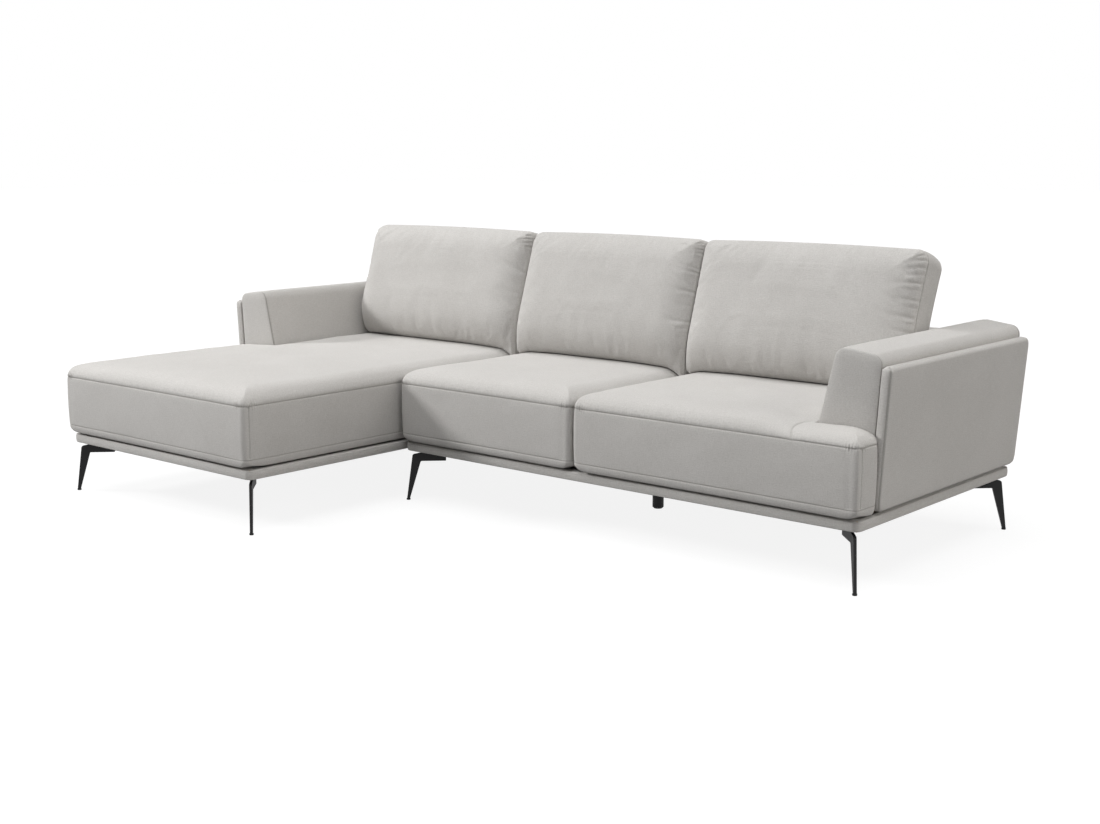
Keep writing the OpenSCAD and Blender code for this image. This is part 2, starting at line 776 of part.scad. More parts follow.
module support_foot() {
    color(charcoal)
        translate([support_x, y_front + support_y, 0]) {
            cylinder(h = 5, r1 = support_r - 5, r2 = support_r);
            translate([0, 0, 5])
                cylinder(h = foot_h - 5 - glue_gap, r = support_r);
            translate([0, 0, foot_h - glue_gap])
                cylinder(h = stud_l, r = stud_r);
        }
}

// Hooks on the facing sides of the units. The chaise's tongue drops behind the two-seat unit's lip.
hook_z = z_base + 4;
hook_x = pair[0];
lip_x = hook_x - 2 * hook_t - hook_gap - hook_gap;

module pair_hooks() {
    color(steel)
        for (y = [hook_y1, hook_y2])
            translate([0, y_front + y, hook_z]) {
                board([hook_x - hook_t, 0, 0], [hook_x, hook_l, hook_drop + hook_t]);
                board([lip_x - hook_t, 0, 0], [lip_x, hook_l, hook_drop]);
                board([lip_x - hook_t, 0, 0], [hook_x, hook_l, hook_t]);
            }
}

module chaise_hooks() {
    tongue = [lip_x + hook_gap, hook_t + hook_gap, hook_t + hook_gap];
    arch_z = hook_drop + hook_gap;
    side = chaise[1];
    color(steel)
        for (y = [hook_y1, hook_y2])
            translate([0, y_front + y, hook_z]) {
                board([side, hook_gap, 0], [side + hook_t / 2, hook_l - hook_gap, arch_z + hook_t]);
                board([side, hook_gap, arch_z], [tongue[0] + hook_t, hook_l - hook_gap, arch_z + hook_t]);
                board([tongue[0], hook_gap, tongue[2]],
                      [tongue[0] + hook_t, hook_l - hook_gap, arch_z + hook_t]);
            }
}

// Two-seat unit
seat_depth = y_back_face - soft_gap - y_front + seat_over;
arm_seat_w = arm_low_in + soft_gap + seat_over;
arm_seat_d = arm_in_y + seat_over - soft_gap;
pair_inner_x = support_x - rail_w / 2;
chaise_inner_x = -x_end + arm_low_in + 10;

front_rail(pair);  // pair_front_rail
back_rail(pair);  // pair_back_rail
cross_rail(pair, pair[0] + wrap_t);  // pair_left_rail
cross_rail(pair, pair[1] - wrap_t - rail_w);  // pair_right_rail
cross_rail(pair, pair_inner_x);  // pair_inner_rail
corner_blocks(pair);  // pair_corner_blocks
plinth_wrap(pair, 0);  // pair_plinth_front
plinth_wrap(pair, 1);  // pair_plinth_back
plinth_wrap(pair, 2);  // pair_plinth_left
plinth_wrap(pair, 3);  // pair_plinth_right
dust_cover(pair);  // pair_dust_cover
union() {
    bay_springs(pair, pair[0] + wrap_t + rail_w, pair_inner_x, pair_springs);
    bay_springs(pair, pair_inner_x + rail_w, x_end - arm_low_in - 10, pair_springs);
}
felt(pair[0] + 30, x_end - arm_low_in - 2, y_front + 40);  // pair_felt
translate([x_joint + seat_gap / 2, y_front - seat_over, z_seat])  // seat_block_middle
        seat_block(x_split - x_joint - seat_gap, seat_depth);
translate([x_split + seat_gap / 2, y_front - seat_over, z_seat])  // seat_block_right
        seat_block(split_in + seat_over - seat_gap / 2, seat_depth, arm_seat_w, arm_seat_d);
leg(pair, 0, 0);  // pair_leg_front_left
leg(pair, 1, 0);  // pair_leg_front_right
leg(pair, 0, 1);  // pair_leg_back_left
leg(pair, 1, 1);  // pair_leg_back_right
glides(pair);  // pair_glides
leg_screws(pair);  // pair_leg_screws
back_frame(pair[0], x_end - arm_low_in, 3);  // pair_back_frame
back_panel(pair[0], x_end);  // pair_back_panel
arm_frame();  // right_arm_frame
arm_pad();  // right_arm_pad
wing_panel();  // right_wing_panel
back_cushion(x_joint + cushion_shift + cushion_gap / 2, x_split + cushion_shift - cushion_gap / 2);  // back_cushion_middle
back_cushion(x_split + cushion_shift + cushion_gap / 2, x_end - cushion_in);  // back_cushion_right
pair_hooks();
support_leg();
support_foot();

// Chaise unit
front_rail(chaise);  // chaise_front_rail
back_rail(chaise);  // chaise_back_rail
cross_rail(chaise, chaise[0] + wrap_t);  // chaise_left_rail
cross_rail(chaise, chaise[1] - wrap_t - rail_w);  // chaise_right_rail
cross_rail(chaise, chaise_inner_x);  // chaise_inner_rail
corner_blocks(chaise);  // chaise_corner_blocks
plinth_wrap(chaise, 0);  // chaise_plinth_front
plinth_wrap(chaise, 1);  // chaise_plinth_back
plinth_wrap(chaise, 2);  // chaise_plinth_left
plinth_wrap(chaise, 3);  // chaise_plinth_right
dust_cover(chaise);  // chaise_dust_cover
cross_springs(chaise_inner_x + rail_w, chaise[1] - wrap_t - rail_w,
                  chaise[2] + wrap_t + rail_w, y_back_face, chaise_springs);
felt(chaise_inner_x - 5, chaise[1] - 30, y_front - reach + 40);  // chaise_felt
translate([x_joint - seat_gap / 2, y_front - reach - seat_over, z_seat])  // seat_block_chaise
        mirror([1, 0, 0])
            seat_block(chaise_w + seat_over - seat_gap / 2, seat_depth + reach, arm_seat_w, arm_seat_d + reach);
leg(chaise, 0, 0);  // chaise_leg_front_left
leg(chaise, 1, 0);  // chaise_leg_front_right
leg(chaise, 0, 1);  // chaise_leg_back_left
leg(chaise, 1, 1);  // chaise_leg_back_right
glides(chaise);  // chaise_glides
leg_screws(chaise);  // chaise_leg_screws
back_frame(-x_end + arm_low_in, chaise[1], 2);  // chaise_back_frame
back_panel(-x_end, chaise[1]);  // chaise_back_panel
mirror([1, 0, 0]) arm_frame();  // left_arm_frame
mirror([1, 0, 0]) arm_pad();  // left_arm_pad
mirror([1, 0, 0]) wing_panel();  // left_wing_panel
back_cushion(-x_end + cushion_in, x_joint + cushion_shift - cushion_gap / 2);  // back_cushion_left
chaise_hooks();
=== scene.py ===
import math

import bpy
import numpy as np
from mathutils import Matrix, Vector
from mathutils.kdtree import KDTree


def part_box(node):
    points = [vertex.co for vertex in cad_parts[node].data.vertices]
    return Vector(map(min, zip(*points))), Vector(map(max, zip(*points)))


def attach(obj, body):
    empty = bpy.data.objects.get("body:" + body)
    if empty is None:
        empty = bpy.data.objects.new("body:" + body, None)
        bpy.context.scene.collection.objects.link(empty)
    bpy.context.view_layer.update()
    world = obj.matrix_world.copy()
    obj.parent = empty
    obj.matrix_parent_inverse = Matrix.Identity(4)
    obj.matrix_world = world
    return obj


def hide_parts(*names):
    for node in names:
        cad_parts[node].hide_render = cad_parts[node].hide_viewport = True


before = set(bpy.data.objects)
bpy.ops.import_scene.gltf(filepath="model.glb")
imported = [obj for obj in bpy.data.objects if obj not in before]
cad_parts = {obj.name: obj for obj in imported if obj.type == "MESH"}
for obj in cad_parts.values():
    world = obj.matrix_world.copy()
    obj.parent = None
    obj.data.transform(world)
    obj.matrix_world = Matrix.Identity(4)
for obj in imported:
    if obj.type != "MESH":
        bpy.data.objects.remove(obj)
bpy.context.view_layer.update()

# Corner sofa in pale woven cloth on thin black legs. Metres, +X right, +Y back, +Z up.
print("frame loaded:", len(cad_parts), "nodes")

# The main lines of the sofa, read off the frame
lineX = {
    "end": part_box("pair_plinth_right")[1].x,
    "joint": (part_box("pair_plinth_left")[0].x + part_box("chaise_plinth_right")[1].x) / 2,
    "split": (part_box("seat_block_middle")[1].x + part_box("seat_block_right")[0].x) / 2,
    "armFoot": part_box("right_arm_pad")[0].x,
    "armHead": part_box("pair_plinth_right")[1].x - 0.138,  # the arm pad's inner face at its top
}
lineY = {
    "front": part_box("pair_plinth_front")[0].y,
    "chaiseFront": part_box("chaise_plinth_front")[0].y,
    "arm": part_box("right_arm_pad")[0].y,
    "backFace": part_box("pair_back_panel")[0].y,
}
backTilt = math.tan(math.radians(2))  # backward lean of the rear faces
backRadius = 0.028  # of the backs' top edges
lineZ = {
    "deck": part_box("pair_plinth_front")[1].z,
    "seat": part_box("seat_block_middle")[0].z,
    "padFoot": 0.300,
    "padRear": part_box("right_arm_pad")[0].z,
    "armKnee": 0.430,  # the arm pad's inner face leans above this
    "armTop": 0.664,
    "wing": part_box("right_wing_panel")[0].z,
    "wingTop": 0.617,
    "backTop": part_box("pair_back_panel")[1].z,
}
lineY["rear"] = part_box("pair_back_panel")[1].y - (lineZ["backTop"] - backRadius - lineZ["deck"]) * backTilt


def rearY(z):
    # Rear face of the arms and the back at height z
    return lineY["rear"] + (z - lineZ["deck"]) * backTilt


softGap = 0.00035  # clearance between soft pieces that touch


def addObject(name, data):
    thing = bpy.data.objects.new(name, data)
    bpy.context.scene.collection.objects.link(thing)
    return thing


# Camera at the photograph's angle
cameraSetup = {
    "place": (3.280, -3.644, 1.187),
    "turn": 40.71,  # degrees to the left of straight back
    "tilt": 9.93,  # degrees down
    "lens": 48.85,
}


def buildCamera():
    data = bpy.data.cameras.new("camera")
    data.sensor_width = 36
    data.lens = cameraSetup["lens"]
    camera = addObject("camera", data)
    camera.location = cameraSetup["place"]
    camera.rotation_euler = (
        math.radians(90 - cameraSetup["tilt"]),
        0,
        math.radians(cameraSetup["turn"]),
    )
    bpy.context.scene.camera = camera


buildCamera()
print("camera placed")


# Shader maths. A Wire is a socket that can stand in a sum.
class Wire:
    def __init__(self, shop, socket):
        self.shop = shop
        self.socket = socket

    def join(self, kind, first, second):
        return self.shop.part("ShaderNodeMath", {"operation": kind}, {0: first, 1: second})

    def __add__(self, other):
        return self.join("ADD", self, other)

    def __sub__(self, other):
        return self.join("SUBTRACT", self, other)

    def __rsub__(self, other):
        return self.join("SUBTRACT", other, self)

    def __mul__(self, other):
        return self.join("MULTIPLY", self, other)

    __radd__ = __add__
    __rmul__ = __mul__


def addNode(tree, kind, settings, inputs):
    node = tree.nodes.new(kind)
    for key, value in (settings or {}).items():
        setattr(node, key, value)
    for key, value in (inputs or {}).items():
        value = getattr(value, "socket", value)
        if isinstance(value, bpy.types.NodeSocket):
            tree.links.new(value, node.inputs[key])
        else:
            node.inputs[key].default_value = value
    return node


class NodeShop:
    # The shader nodes of a material or a world
    def __init__(self, owner):
        self.owner = owner
        owner.use_nodes = True
        self.tree = owner.node_tree
        self.tree.nodes.clear()

    def part(self, kind, settings=None, inputs=None, out=0):
        # A new node. It gives back the wire of one output, or of all.
        node = addNode(self.tree, kind, settings, inputs)
        if out == "all":
            return [Wire(self, socket) for socket in node.outputs]
        return Wire(self, node.outputs[out]) if node.outputs else None

    def mix(self, amount, first, second):
        return self.part("ShaderNodeMix", {"data_type": "RGBA"}, {0: amount, 6: first, 7: second}, out=2)

    def stretched(self, vector, scales):
        return self.part("ShaderNodeVectorMath", {"operation": "MULTIPLY"}, {0: vector, 1: scales})

    def noise(self, vector, scale, detail=2.0, roughness=0.5):
        inputs = {"Vector": vector, "Scale": scale, "Detail": detail, "Roughness": roughness}
        return self.part("ShaderNodeTexNoise", {}, inputs)

    def bump(self, height, strength, distance, **under):
        inputs = {"Height": height, "Strength": strength, "Distance": distance, **under}
        return self.part("ShaderNodeBump", {}, inputs)

    def wave(self, turns):
        return self.part("ShaderNodeMath", {"operation": "SINE"}, {0: turns})

    def shownRays(self):
        # 1 for the rays that show the surroundings, 0 for those that light the sofa
        kinds = ("Is Camera Ray", "Is Glossy Ray", "Is Transmission Ray")
        camera, glossy, through = (self.part("ShaderNodeLightPath", out=kind) for kind in kinds)
        return camera + glossy + through

    def finish(self, shader, output="ShaderNodeOutputMaterial"):
        self.part(output, {}, {"Surface": shader})
        return self.owner


def newLook(name):
    return NodeShop(bpy.data.materials.new(name))


def colour(r, g, b):
    return (r, g, b, 1.0)


# Woven cloth. Its threads follow each piece's own UV map, which is in metres.
clothLook = {
    "light": colour(0.606, 0.589, 0.567),
    "dark": colour(0.470, 0.453, 0.430),
    # painted shade: the colour that the shadow in a seam groove is painted with
    "seam": colour(0.270, 0.255, 0.236),
    "thread": 0.0011,
    "paintedSeamShade": 0.40,  # how far the painted seam shade takes the cloth's colour towards the seam colour
}


def clothMaterial():
    shop = newLook("pale_woven_cloth")
    weave = shop.part("ShaderNodeUVMap", {"uv_map": "weave"})
    place = shop.part("ShaderNodeTexCoord", out="Object")
    seam = shop.part("ShaderNodeAttribute", {"attribute_name": "seam"}, out="Fac")
    warp = shop.noise(shop.stretched(weave, (700, 45, 1)), 1.0, 3.0, 0.6)
    weft = shop.noise(shop.stretched(weave, (38, 620, 1)), 1.0, 3.0, 0.6)
    patches = shop.noise(place, 5.5, 3.0, 0.55)
    grain = shop.noise(shop.stretched(weave, (210, 330, 1)), 1.0, 2.0, 0.7)
    heather = (warp + weft) * 0.5
    tone = heather * 2.1 + grain * 1.7 - 1.4 + (patches - 0.5) * 0.5
    body = shop.mix(tone, clothLook["dark"], clothLook["light"])
    # Painted shade: the seam attribute darkens the cloth towards the seam colour, standing in for the shadow
    # in the seam grooves
    base = shop.mix(seam * clothLook["paintedSeamShade"], body, clothLook["seam"])
    turns = 2 * math.pi / clothLook["thread"]
    across, along, _ = shop.part("ShaderNodeSeparateXYZ", {}, {0: weave}, out="all")
    threads = shop.wave(across * turns) * shop.wave(along * turns)
    slub = shop.bump(heather + grain * 0.8, 0.5, 0.0016)
    fine = shop.bump(threads, 0.25, 0.0003, Normal=slub)
    surface = shop.part(
        "ShaderNodeBsdfPrincipled",
        {},
        {
            "Base Color": base,
            "Roughness": 0.92,
            "Specular IOR Level": 0.25,
            "Sheen Weight": 0.18,
            "Sheen Roughness": 0.55,
            "Normal": fine,
        },
    )
    return shop.finish(surface)


def plainMaterial(name, dark, light, grain, roughness, metallic=0.0, bump=0.0005, strength=0.2, gloss=0.3):
    # A finish whose grain is noise in the object's own space
    shop = newLook(name)
    place = shop.part("ShaderNodeTexCoord", out="Object")
    speck = shop.noise(shop.stretched(place, grain), 1.0, 4.0, 0.6)
    base = shop.mix(speck, colour(*dark), colour(*light))
    surface = shop.part(
        "ShaderNodeBsdfPrincipled",
        {},
        {
            "Base Color": base,
            "Roughness": speck * 0.16 + (roughness - 0.08),
            "Metallic": metallic,
            "Specular IOR Level": gloss,
            "Normal": shop.bump(speck, strength, bump),
        },
    )
    return shop.finish(surface)


cloth = clothMaterial()
finishes = {
    # Dark and light colour, how fine the grain is along x, y and z, roughness, and where they are not
    # as usual metallic, bump, its strength and gloss
    "black_powder_coat": ((0.004, 0.004, 0.0045), (0.010, 0.010, 0.011), (900, 900, 900), 0.55),
    "black_plastic": ((0.006, 0.006, 0.006), (0.016, 0.016, 0.016), (300, 300, 300), 0.60),
    "zinc_steel": ((0.42, 0.43, 0.44), (0.62, 0.62, 0.61), (60, 60, 60), 0.38, 1.0),
    "pine_board": ((0.45, 0.29, 0.15), (0.68, 0.49, 0.29), (6, 90, 90), 0.62),
    "dust_cover_cloth": ((0.012, 0.012, 0.013), (0.045, 0.045, 0.047), (420, 420, 420), 0.88),
    "grey_felt": ((0.10, 0.10, 0.105), (0.26, 0.26, 0.27), (260, 260, 260), 0.95),
    # painted shade: the seam ridges are darker than the cloth to stand in for the shadow along the seams
    "sewn_edge_painted_shade": (
        (0.300, 0.285, 0.266), (0.430, 0.412, 0.390), (700, 700, 700), 0.92, 0.0, 0.0004, 0.4, 0.2,
    ),
}
finish = {name: plainMaterial(name, *values) for name, values in finishes.items()}
print("materials made")


def dressFrame():
    looks = {
        "leg_screws": "zinc_steel",
        "_leg_": "black_powder_coat",
        "support_leg": "black_powder_coat",
        "support_foot": "black_plastic",
        "glides": "black_plastic",
        "hooks": "zinc_steel",
        "springs": "zinc_steel",
        "felt": "grey_felt",
        "dust_cover": "dust_cover_cloth",
        "rail": "pine_board",
        "blocks": "pine_board",
        "_frame": "pine_board",
    }
    for name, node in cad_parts.items():
        look = next((finish[kind] for part, kind in looks.items() if part in name), cloth)
        node.data.materials.clear()
        node.data.materials.append(look)


dressFrame()


# Soft pieces. Each is a closed shell: a near face and a far face on one lattice of lines us by vs, and
# rings of points between their rims. A point is x, y, z and how deep it lies in a seam, which sets how much
# painted seam shade the cloth gets there.
def points(x, y, z, seam=0.0):
    return np.stack(np.broadcast_arrays(x, y, z, seam), -1).astype(float)


def latticeRing(nx, ny, notch):
    # The rim of a lattice, once round. A notch cuts its far corner away from that line on.
    corners = [(0, 0), (nx - 1, 0), (nx - 1, ny - 1), (0, ny - 1)]
    if notch:
        a, b = notch
        corners = [(0, 0), (nx - 1, 0), (nx - 1, b), (a, b), (a, ny - 1), (0, ny - 1)]
    ring = []
    for (ia, ja), (ib, jb) in zip(corners, corners[1:] + corners[:1]):
        steps = max(abs(ib - ia), abs(jb - ja))
        for s in range(steps):
            ring.append((ia + (ib - ia) * s // steps, ja + (jb - ja) * s // steps))
    return np.array(ring)


def arcLengths(ring):
    # Distances along a closed ring of points, from 0 to its whole length
    return np.concatenate([[0], np.cumsum(np.linalg.norm(np.roll(ring, -1, 0) - ring, axis=1))])


def band(lower, upper, arc, low, high):
    # The faces between two rings of points, and their UV map
    around = np.stack([arc[:-1], arc[1:], arc[1:], arc[:-1]], 1)
    up = np.broadcast_to([low, low, high, high], around.shape)
    faces = np.stack([lower, np.roll(lower, -1), np.roll(upper, -1), upper], 1)
    return faces, np.stack([around, up], -1)


def shell(name, us, vs, near, far, side, levels, notch=None, mirror=False):
    # The cloth piece, and its rings of points from its near rim to its far rim
    nx, ny = len(us), len(vs)
    gridU, gridV = np.meshgrid(us, vs)
    ring = latticeRing(nx, ny, notch)
    ringU, ringV = us[ring[:, 0]], vs[ring[:, 1]]
    rim = ring[:, 1] * nx + ring[:, 0]
    arc = arcLengths(np.stack([ringU, ringV], 1))
    blocks = [near(gridU, gridV).reshape(-1, 4), far(gridU, gridV).reshape(-1, 4)]
    blocks += [side(ringU, ringV, level) for level in levels]
    verts = np.concatenate(blocks)
    count = nx * ny
    rings = [rim] + [2 * count + k * len(ring) + np.arange(len(ring)) for k in range(len(levels))]
    rings.append(count + rim)
    paths = [verts[row, :3] * ([-1, 1, 1] if mirror else 1) for row in rings]

    i, j = np.meshgrid(np.arange(nx - 1), np.arange(ny - 1))
    if notch:
        keep = ~((i >= notch[0]) & (j >= notch[1]))
        i, j = i[keep], j[keep]
    a = (j * nx + i).ravel()
    top = np.stack([a, a + 1, a + 1 + nx, a + nx], 1)
    flatUv = np.stack([gridU.ravel(), gridV.ravel()], 1)
    faces, maps = [top, top[:, ::-1] + count], [flatUv[top], flatUv[top[:, ::-1]]]
    drop = 0.0
    for upper, lower in zip(rings, rings[1:]):
        depth = np.linalg.norm(verts[upper, :3] - verts[lower, :3], axis=1).mean()
        strip = band(lower, upper, arc, -drop - depth, -drop)
        faces.append(strip[0])
        maps.append(strip[1])
        drop += depth
    faces, maps = np.concatenate(faces), np.concatenate(maps)
    if mirror:
        verts[:, 0] *= -1
        faces, maps = faces[:, ::-1], maps[:, ::-1]
    return clothPiece(name + "_cloth", verts, faces, maps), paths


def clothPiece(name, verts, faces, maps):
    # A cloth mesh with its weave's UV map, in metres, and how deep each point lies in a seam, kept as the
    # seam attribute that paints shade into the seam lines
    used, faces = np.unique(faces, return_inverse=True)
    faces = faces.reshape(-1, 4)
    verts = verts[used]
    mesh = bpy.data.meshes.new(name)
    mesh.from_pydata(verts[:, :3].tolist(), [], faces.tolist())
    mesh.uv_layers.new(name="weave").data.foreach_set("uv", maps.ravel())
    # The seam attribute is painted shade: the cloth material darkens its colour along it
    seam = mesh.attributes.new("seam", "FLOAT", "POINT")
    seam.data.foreach_set("value", verts[:, 3].astype(np.float32))
    mesh.polygons.foreach_set("use_smooth", np.ones(len(faces), bool))
    mesh.materials.append(cloth)
    mesh.update()
    return addObject(name, mesh)


def soften(piece, nodes, body):
    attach(piece, body)
    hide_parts(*nodes)


def fromEnds(t, length):
    # Distance from the nearer end of a length
    return np.minimum(t, length - t)


def toEdge(u, v, width, height):
    # Distance of a place on a rectangle from its nearest edge
    return np.minimum(fromEnds(u, width), fromEnds(v, height))


def nearSides(u, v, width, height):
    # Where the left or right edge is nearer than the lower or upper one
    return fromEnds(u, width) <= fromEnds(v, height)


def rise(t):
    # From 0 at an edge to 1 at distance 1, as a quarter ellipse
    return np.sqrt(1 - (1 - np.clip(t, 0, 1)) ** 2)


seamTrails = {}  # body: runs of points that a fine ridge of the sewn edge follows


def addTrail(body, runs):
    seamTrails.setdefault(body, []).extend(runs)


def splitTrail(trail, shown):
    # Runs of a closed trail where shown holds
    if shown.all():
        return [np.vstack([trail, trail[:1]])]
    start = int(np.argmin(shown))
    trail, shown = np.roll(trail, -start, 0), np.roll(shown, -start)
    runs, run = [], []
    for point, keep in zip(trail, shown):
        if keep:
            run.append(point)
        elif run:
            runs.append(np.array(run))
            run = []
    if run:
        runs.append(np.array(run))
    return [r for r in runs if len(r) > 2]


def bell(x, width):
    # From 1 at 0 down to 0 on both sides
    return np.exp(-((x / width) ** 2))


def rollLines(roll, turns=(0, 1.6, 3.2, 5, 7, 10, 14, 20, 27, 35, 44, 54, 65, 77, 90)):
    # Distances from an edge of lattice lines that follow an edge as it rolls over; turns are in degrees
    return roll * (1 - np.cos(np.radians(turns)))


def lines(length, roll, pitch, marks=(), bands=()):
    # Lattice lines across a length: close at both edges and pitch apart between, with one on each mark.
    # A band (from, to, step) gets lines of its own.
    near = rollLines(roll)
    stops = [roll, *marks, length - roll]
    inner = [
        np.linspace(a, b, max(1, round((b - a) / pitch)) + 1)[1:] for a, b in zip(stops, stops[1:])
    ]
    close = [np.arange(a, b, step) for a, b, step in bands]
    places = np.unique(np.round(np.concatenate([near, length - near, *inner, *close]), 7))
    fixed = [0, length, *marks]
    kept = [places[0]]
    for place in places[1:]:
        if place - kept[-1] >= 0.0003:
            kept.append(place)
        elif min(abs(place - f) for f in fixed) < 1e-6:
            kept[-1] = place
    return np.array(kept)


def bothEnds(length, *bands):
    return [*bands, *((length - b, length - a, step) for a, b, step in bands)]


def roundPlan(x, y, width, depth, radius, inset=0.0):
    # A point of a rectangle moved so that its corners are round and its rim is drawn in by inset
    cx, cy = np.clip(x, radius, width - radius), np.clip(y, radius, np.maximum(depth - radius, radius))
    vx, vy = x - cx, y - cy
    far = np.maximum(np.abs(vx), np.abs(vy))
    long = np.hypot(vx, vy)
    scale = np.where(long > 0, (far - inset * far / radius) / np.where(long > 0, long, 1), 0)
    return cx + vx * scale, cy + vy * scale


def sideDraw(x, y, width, depth, pull):
    # How far the middle of each side is drawn in
    tx, ty = x / width, y / depth
    return pull * 4 * np.where(nearSides(x, y, width, depth), ty * (1 - ty), tx * (1 - tx))


def ripple(place, size, seed, terms=7):
    # Smooth irregular waves about size across, from -1 to 1 or so
    rng = np.random.default_rng(seed)
    total = 0.0
    for _ in range(terms):
        way = rng.normal(size=3)
        way *= 2 * math.pi / size * rng.uniform(0.6, 1.5) / np.linalg.norm(way)
        along = place[..., 0] * way[0] + place[..., 1] * way[1] + place[..., 2] * way[2]
        total = total + np.sin(along + rng.uniform(0, 6.28))
    return total / terms**0.5 / 1.4


def ripples(place, rows, seed):
    # Ripples on top of each other. A row is height, size.
    return sum(high * ripple(place, size, seed + k) for k, (high, size) in enumerate(rows))


def dents(off, rows):
    # Grooves in one line at distance off. A row is depth, half width.
    return sum(deep * bell(off, wide) for deep, wide in rows)


# Seat blocks: a top panel sewn to a band of sides, with a second seam near the bottom
seatShape = {
    "lowSeam": 0.027,  # heights of the seams over the underside
    "topSeam": 0.197,
    "lowMark": 0.55,  # the low seam's depth as a share of the top one's
    "lowIn": 0.012,  # how far the underside is drawn in
    "swell": 0.002,  # of the sides between the seams
    "dents": ((0.0018, 0.0020), (0.0008, 0.010)),  # of a seam: depth, half width
    "groove": 0.0014,  # half width of a seam's painted line of shade
    "pull": 0.004,  # how far the sides are drawn in at their middle
    "rollW": 0.080,  # how broad and how high the top edge rolls over
    "rollH": 0.050,
    "earDrop": 0.014,  # how much lower the ear in front of the arm is
    "crown": 0.009,
    "crownSpan": 0.260,
    "radius": 0.024,  # of the upright corners
    "armDip": 0.005,  # of the top along the arm
    "overhang": 0.014,  # beyond the plinth
    "forward": 0.006,  # how far the two seats stand out beyond that
    "endIn": 0.005,  # how much less the right end stands out
    "gap": 0.006,
    "pitch": 0.012,
    "cornerBand": (0.008, 0.066, 0.0022),  # closer lines: from, to, step
    "uprightBand": (0.025, 0.037, 0.001),
    "upright": 0.021,  # distance of the upright seams from the front
    "uprightDents": ((0.0030, 0.010), (0.0022, 0.0018)),
    "topWaves": ((0.0020, 0.34), (0.0006, 0.09)),
    "sideWaves": ((0.0007, 0.20), (0.0003, 0.06)),
    "cornerLift": 0.013,  # how much the lower front corners round up
    "gather": 0.0022,  # height of the small gathers beside the front corners
    "gatherStep": 0.0095,
}


def seatSide(h):
    # Inset of a seat's side at height h above its underside, and how deep it lies in a seam, which sets the
    # painted seam shade
    s = seatShape
    low, top = s["lowSeam"], s["topSeam"]
    strip = s["lowIn"] * (1 - rise(h / low)) if h < low else 0.0
    belly = -s["swell"] * math.sin(math.pi * (h - low) / (top - low)) if h > low else 0.0
    inset, seam = strip + belly, 0.0
    for line, share in ((low, s["lowMark"]), (top, 1.0)):
        inset += share * dents(h - line, s["dents"])
        seam = max(seam, share * bell(h - line, s["groove"]))
    return inset, seam


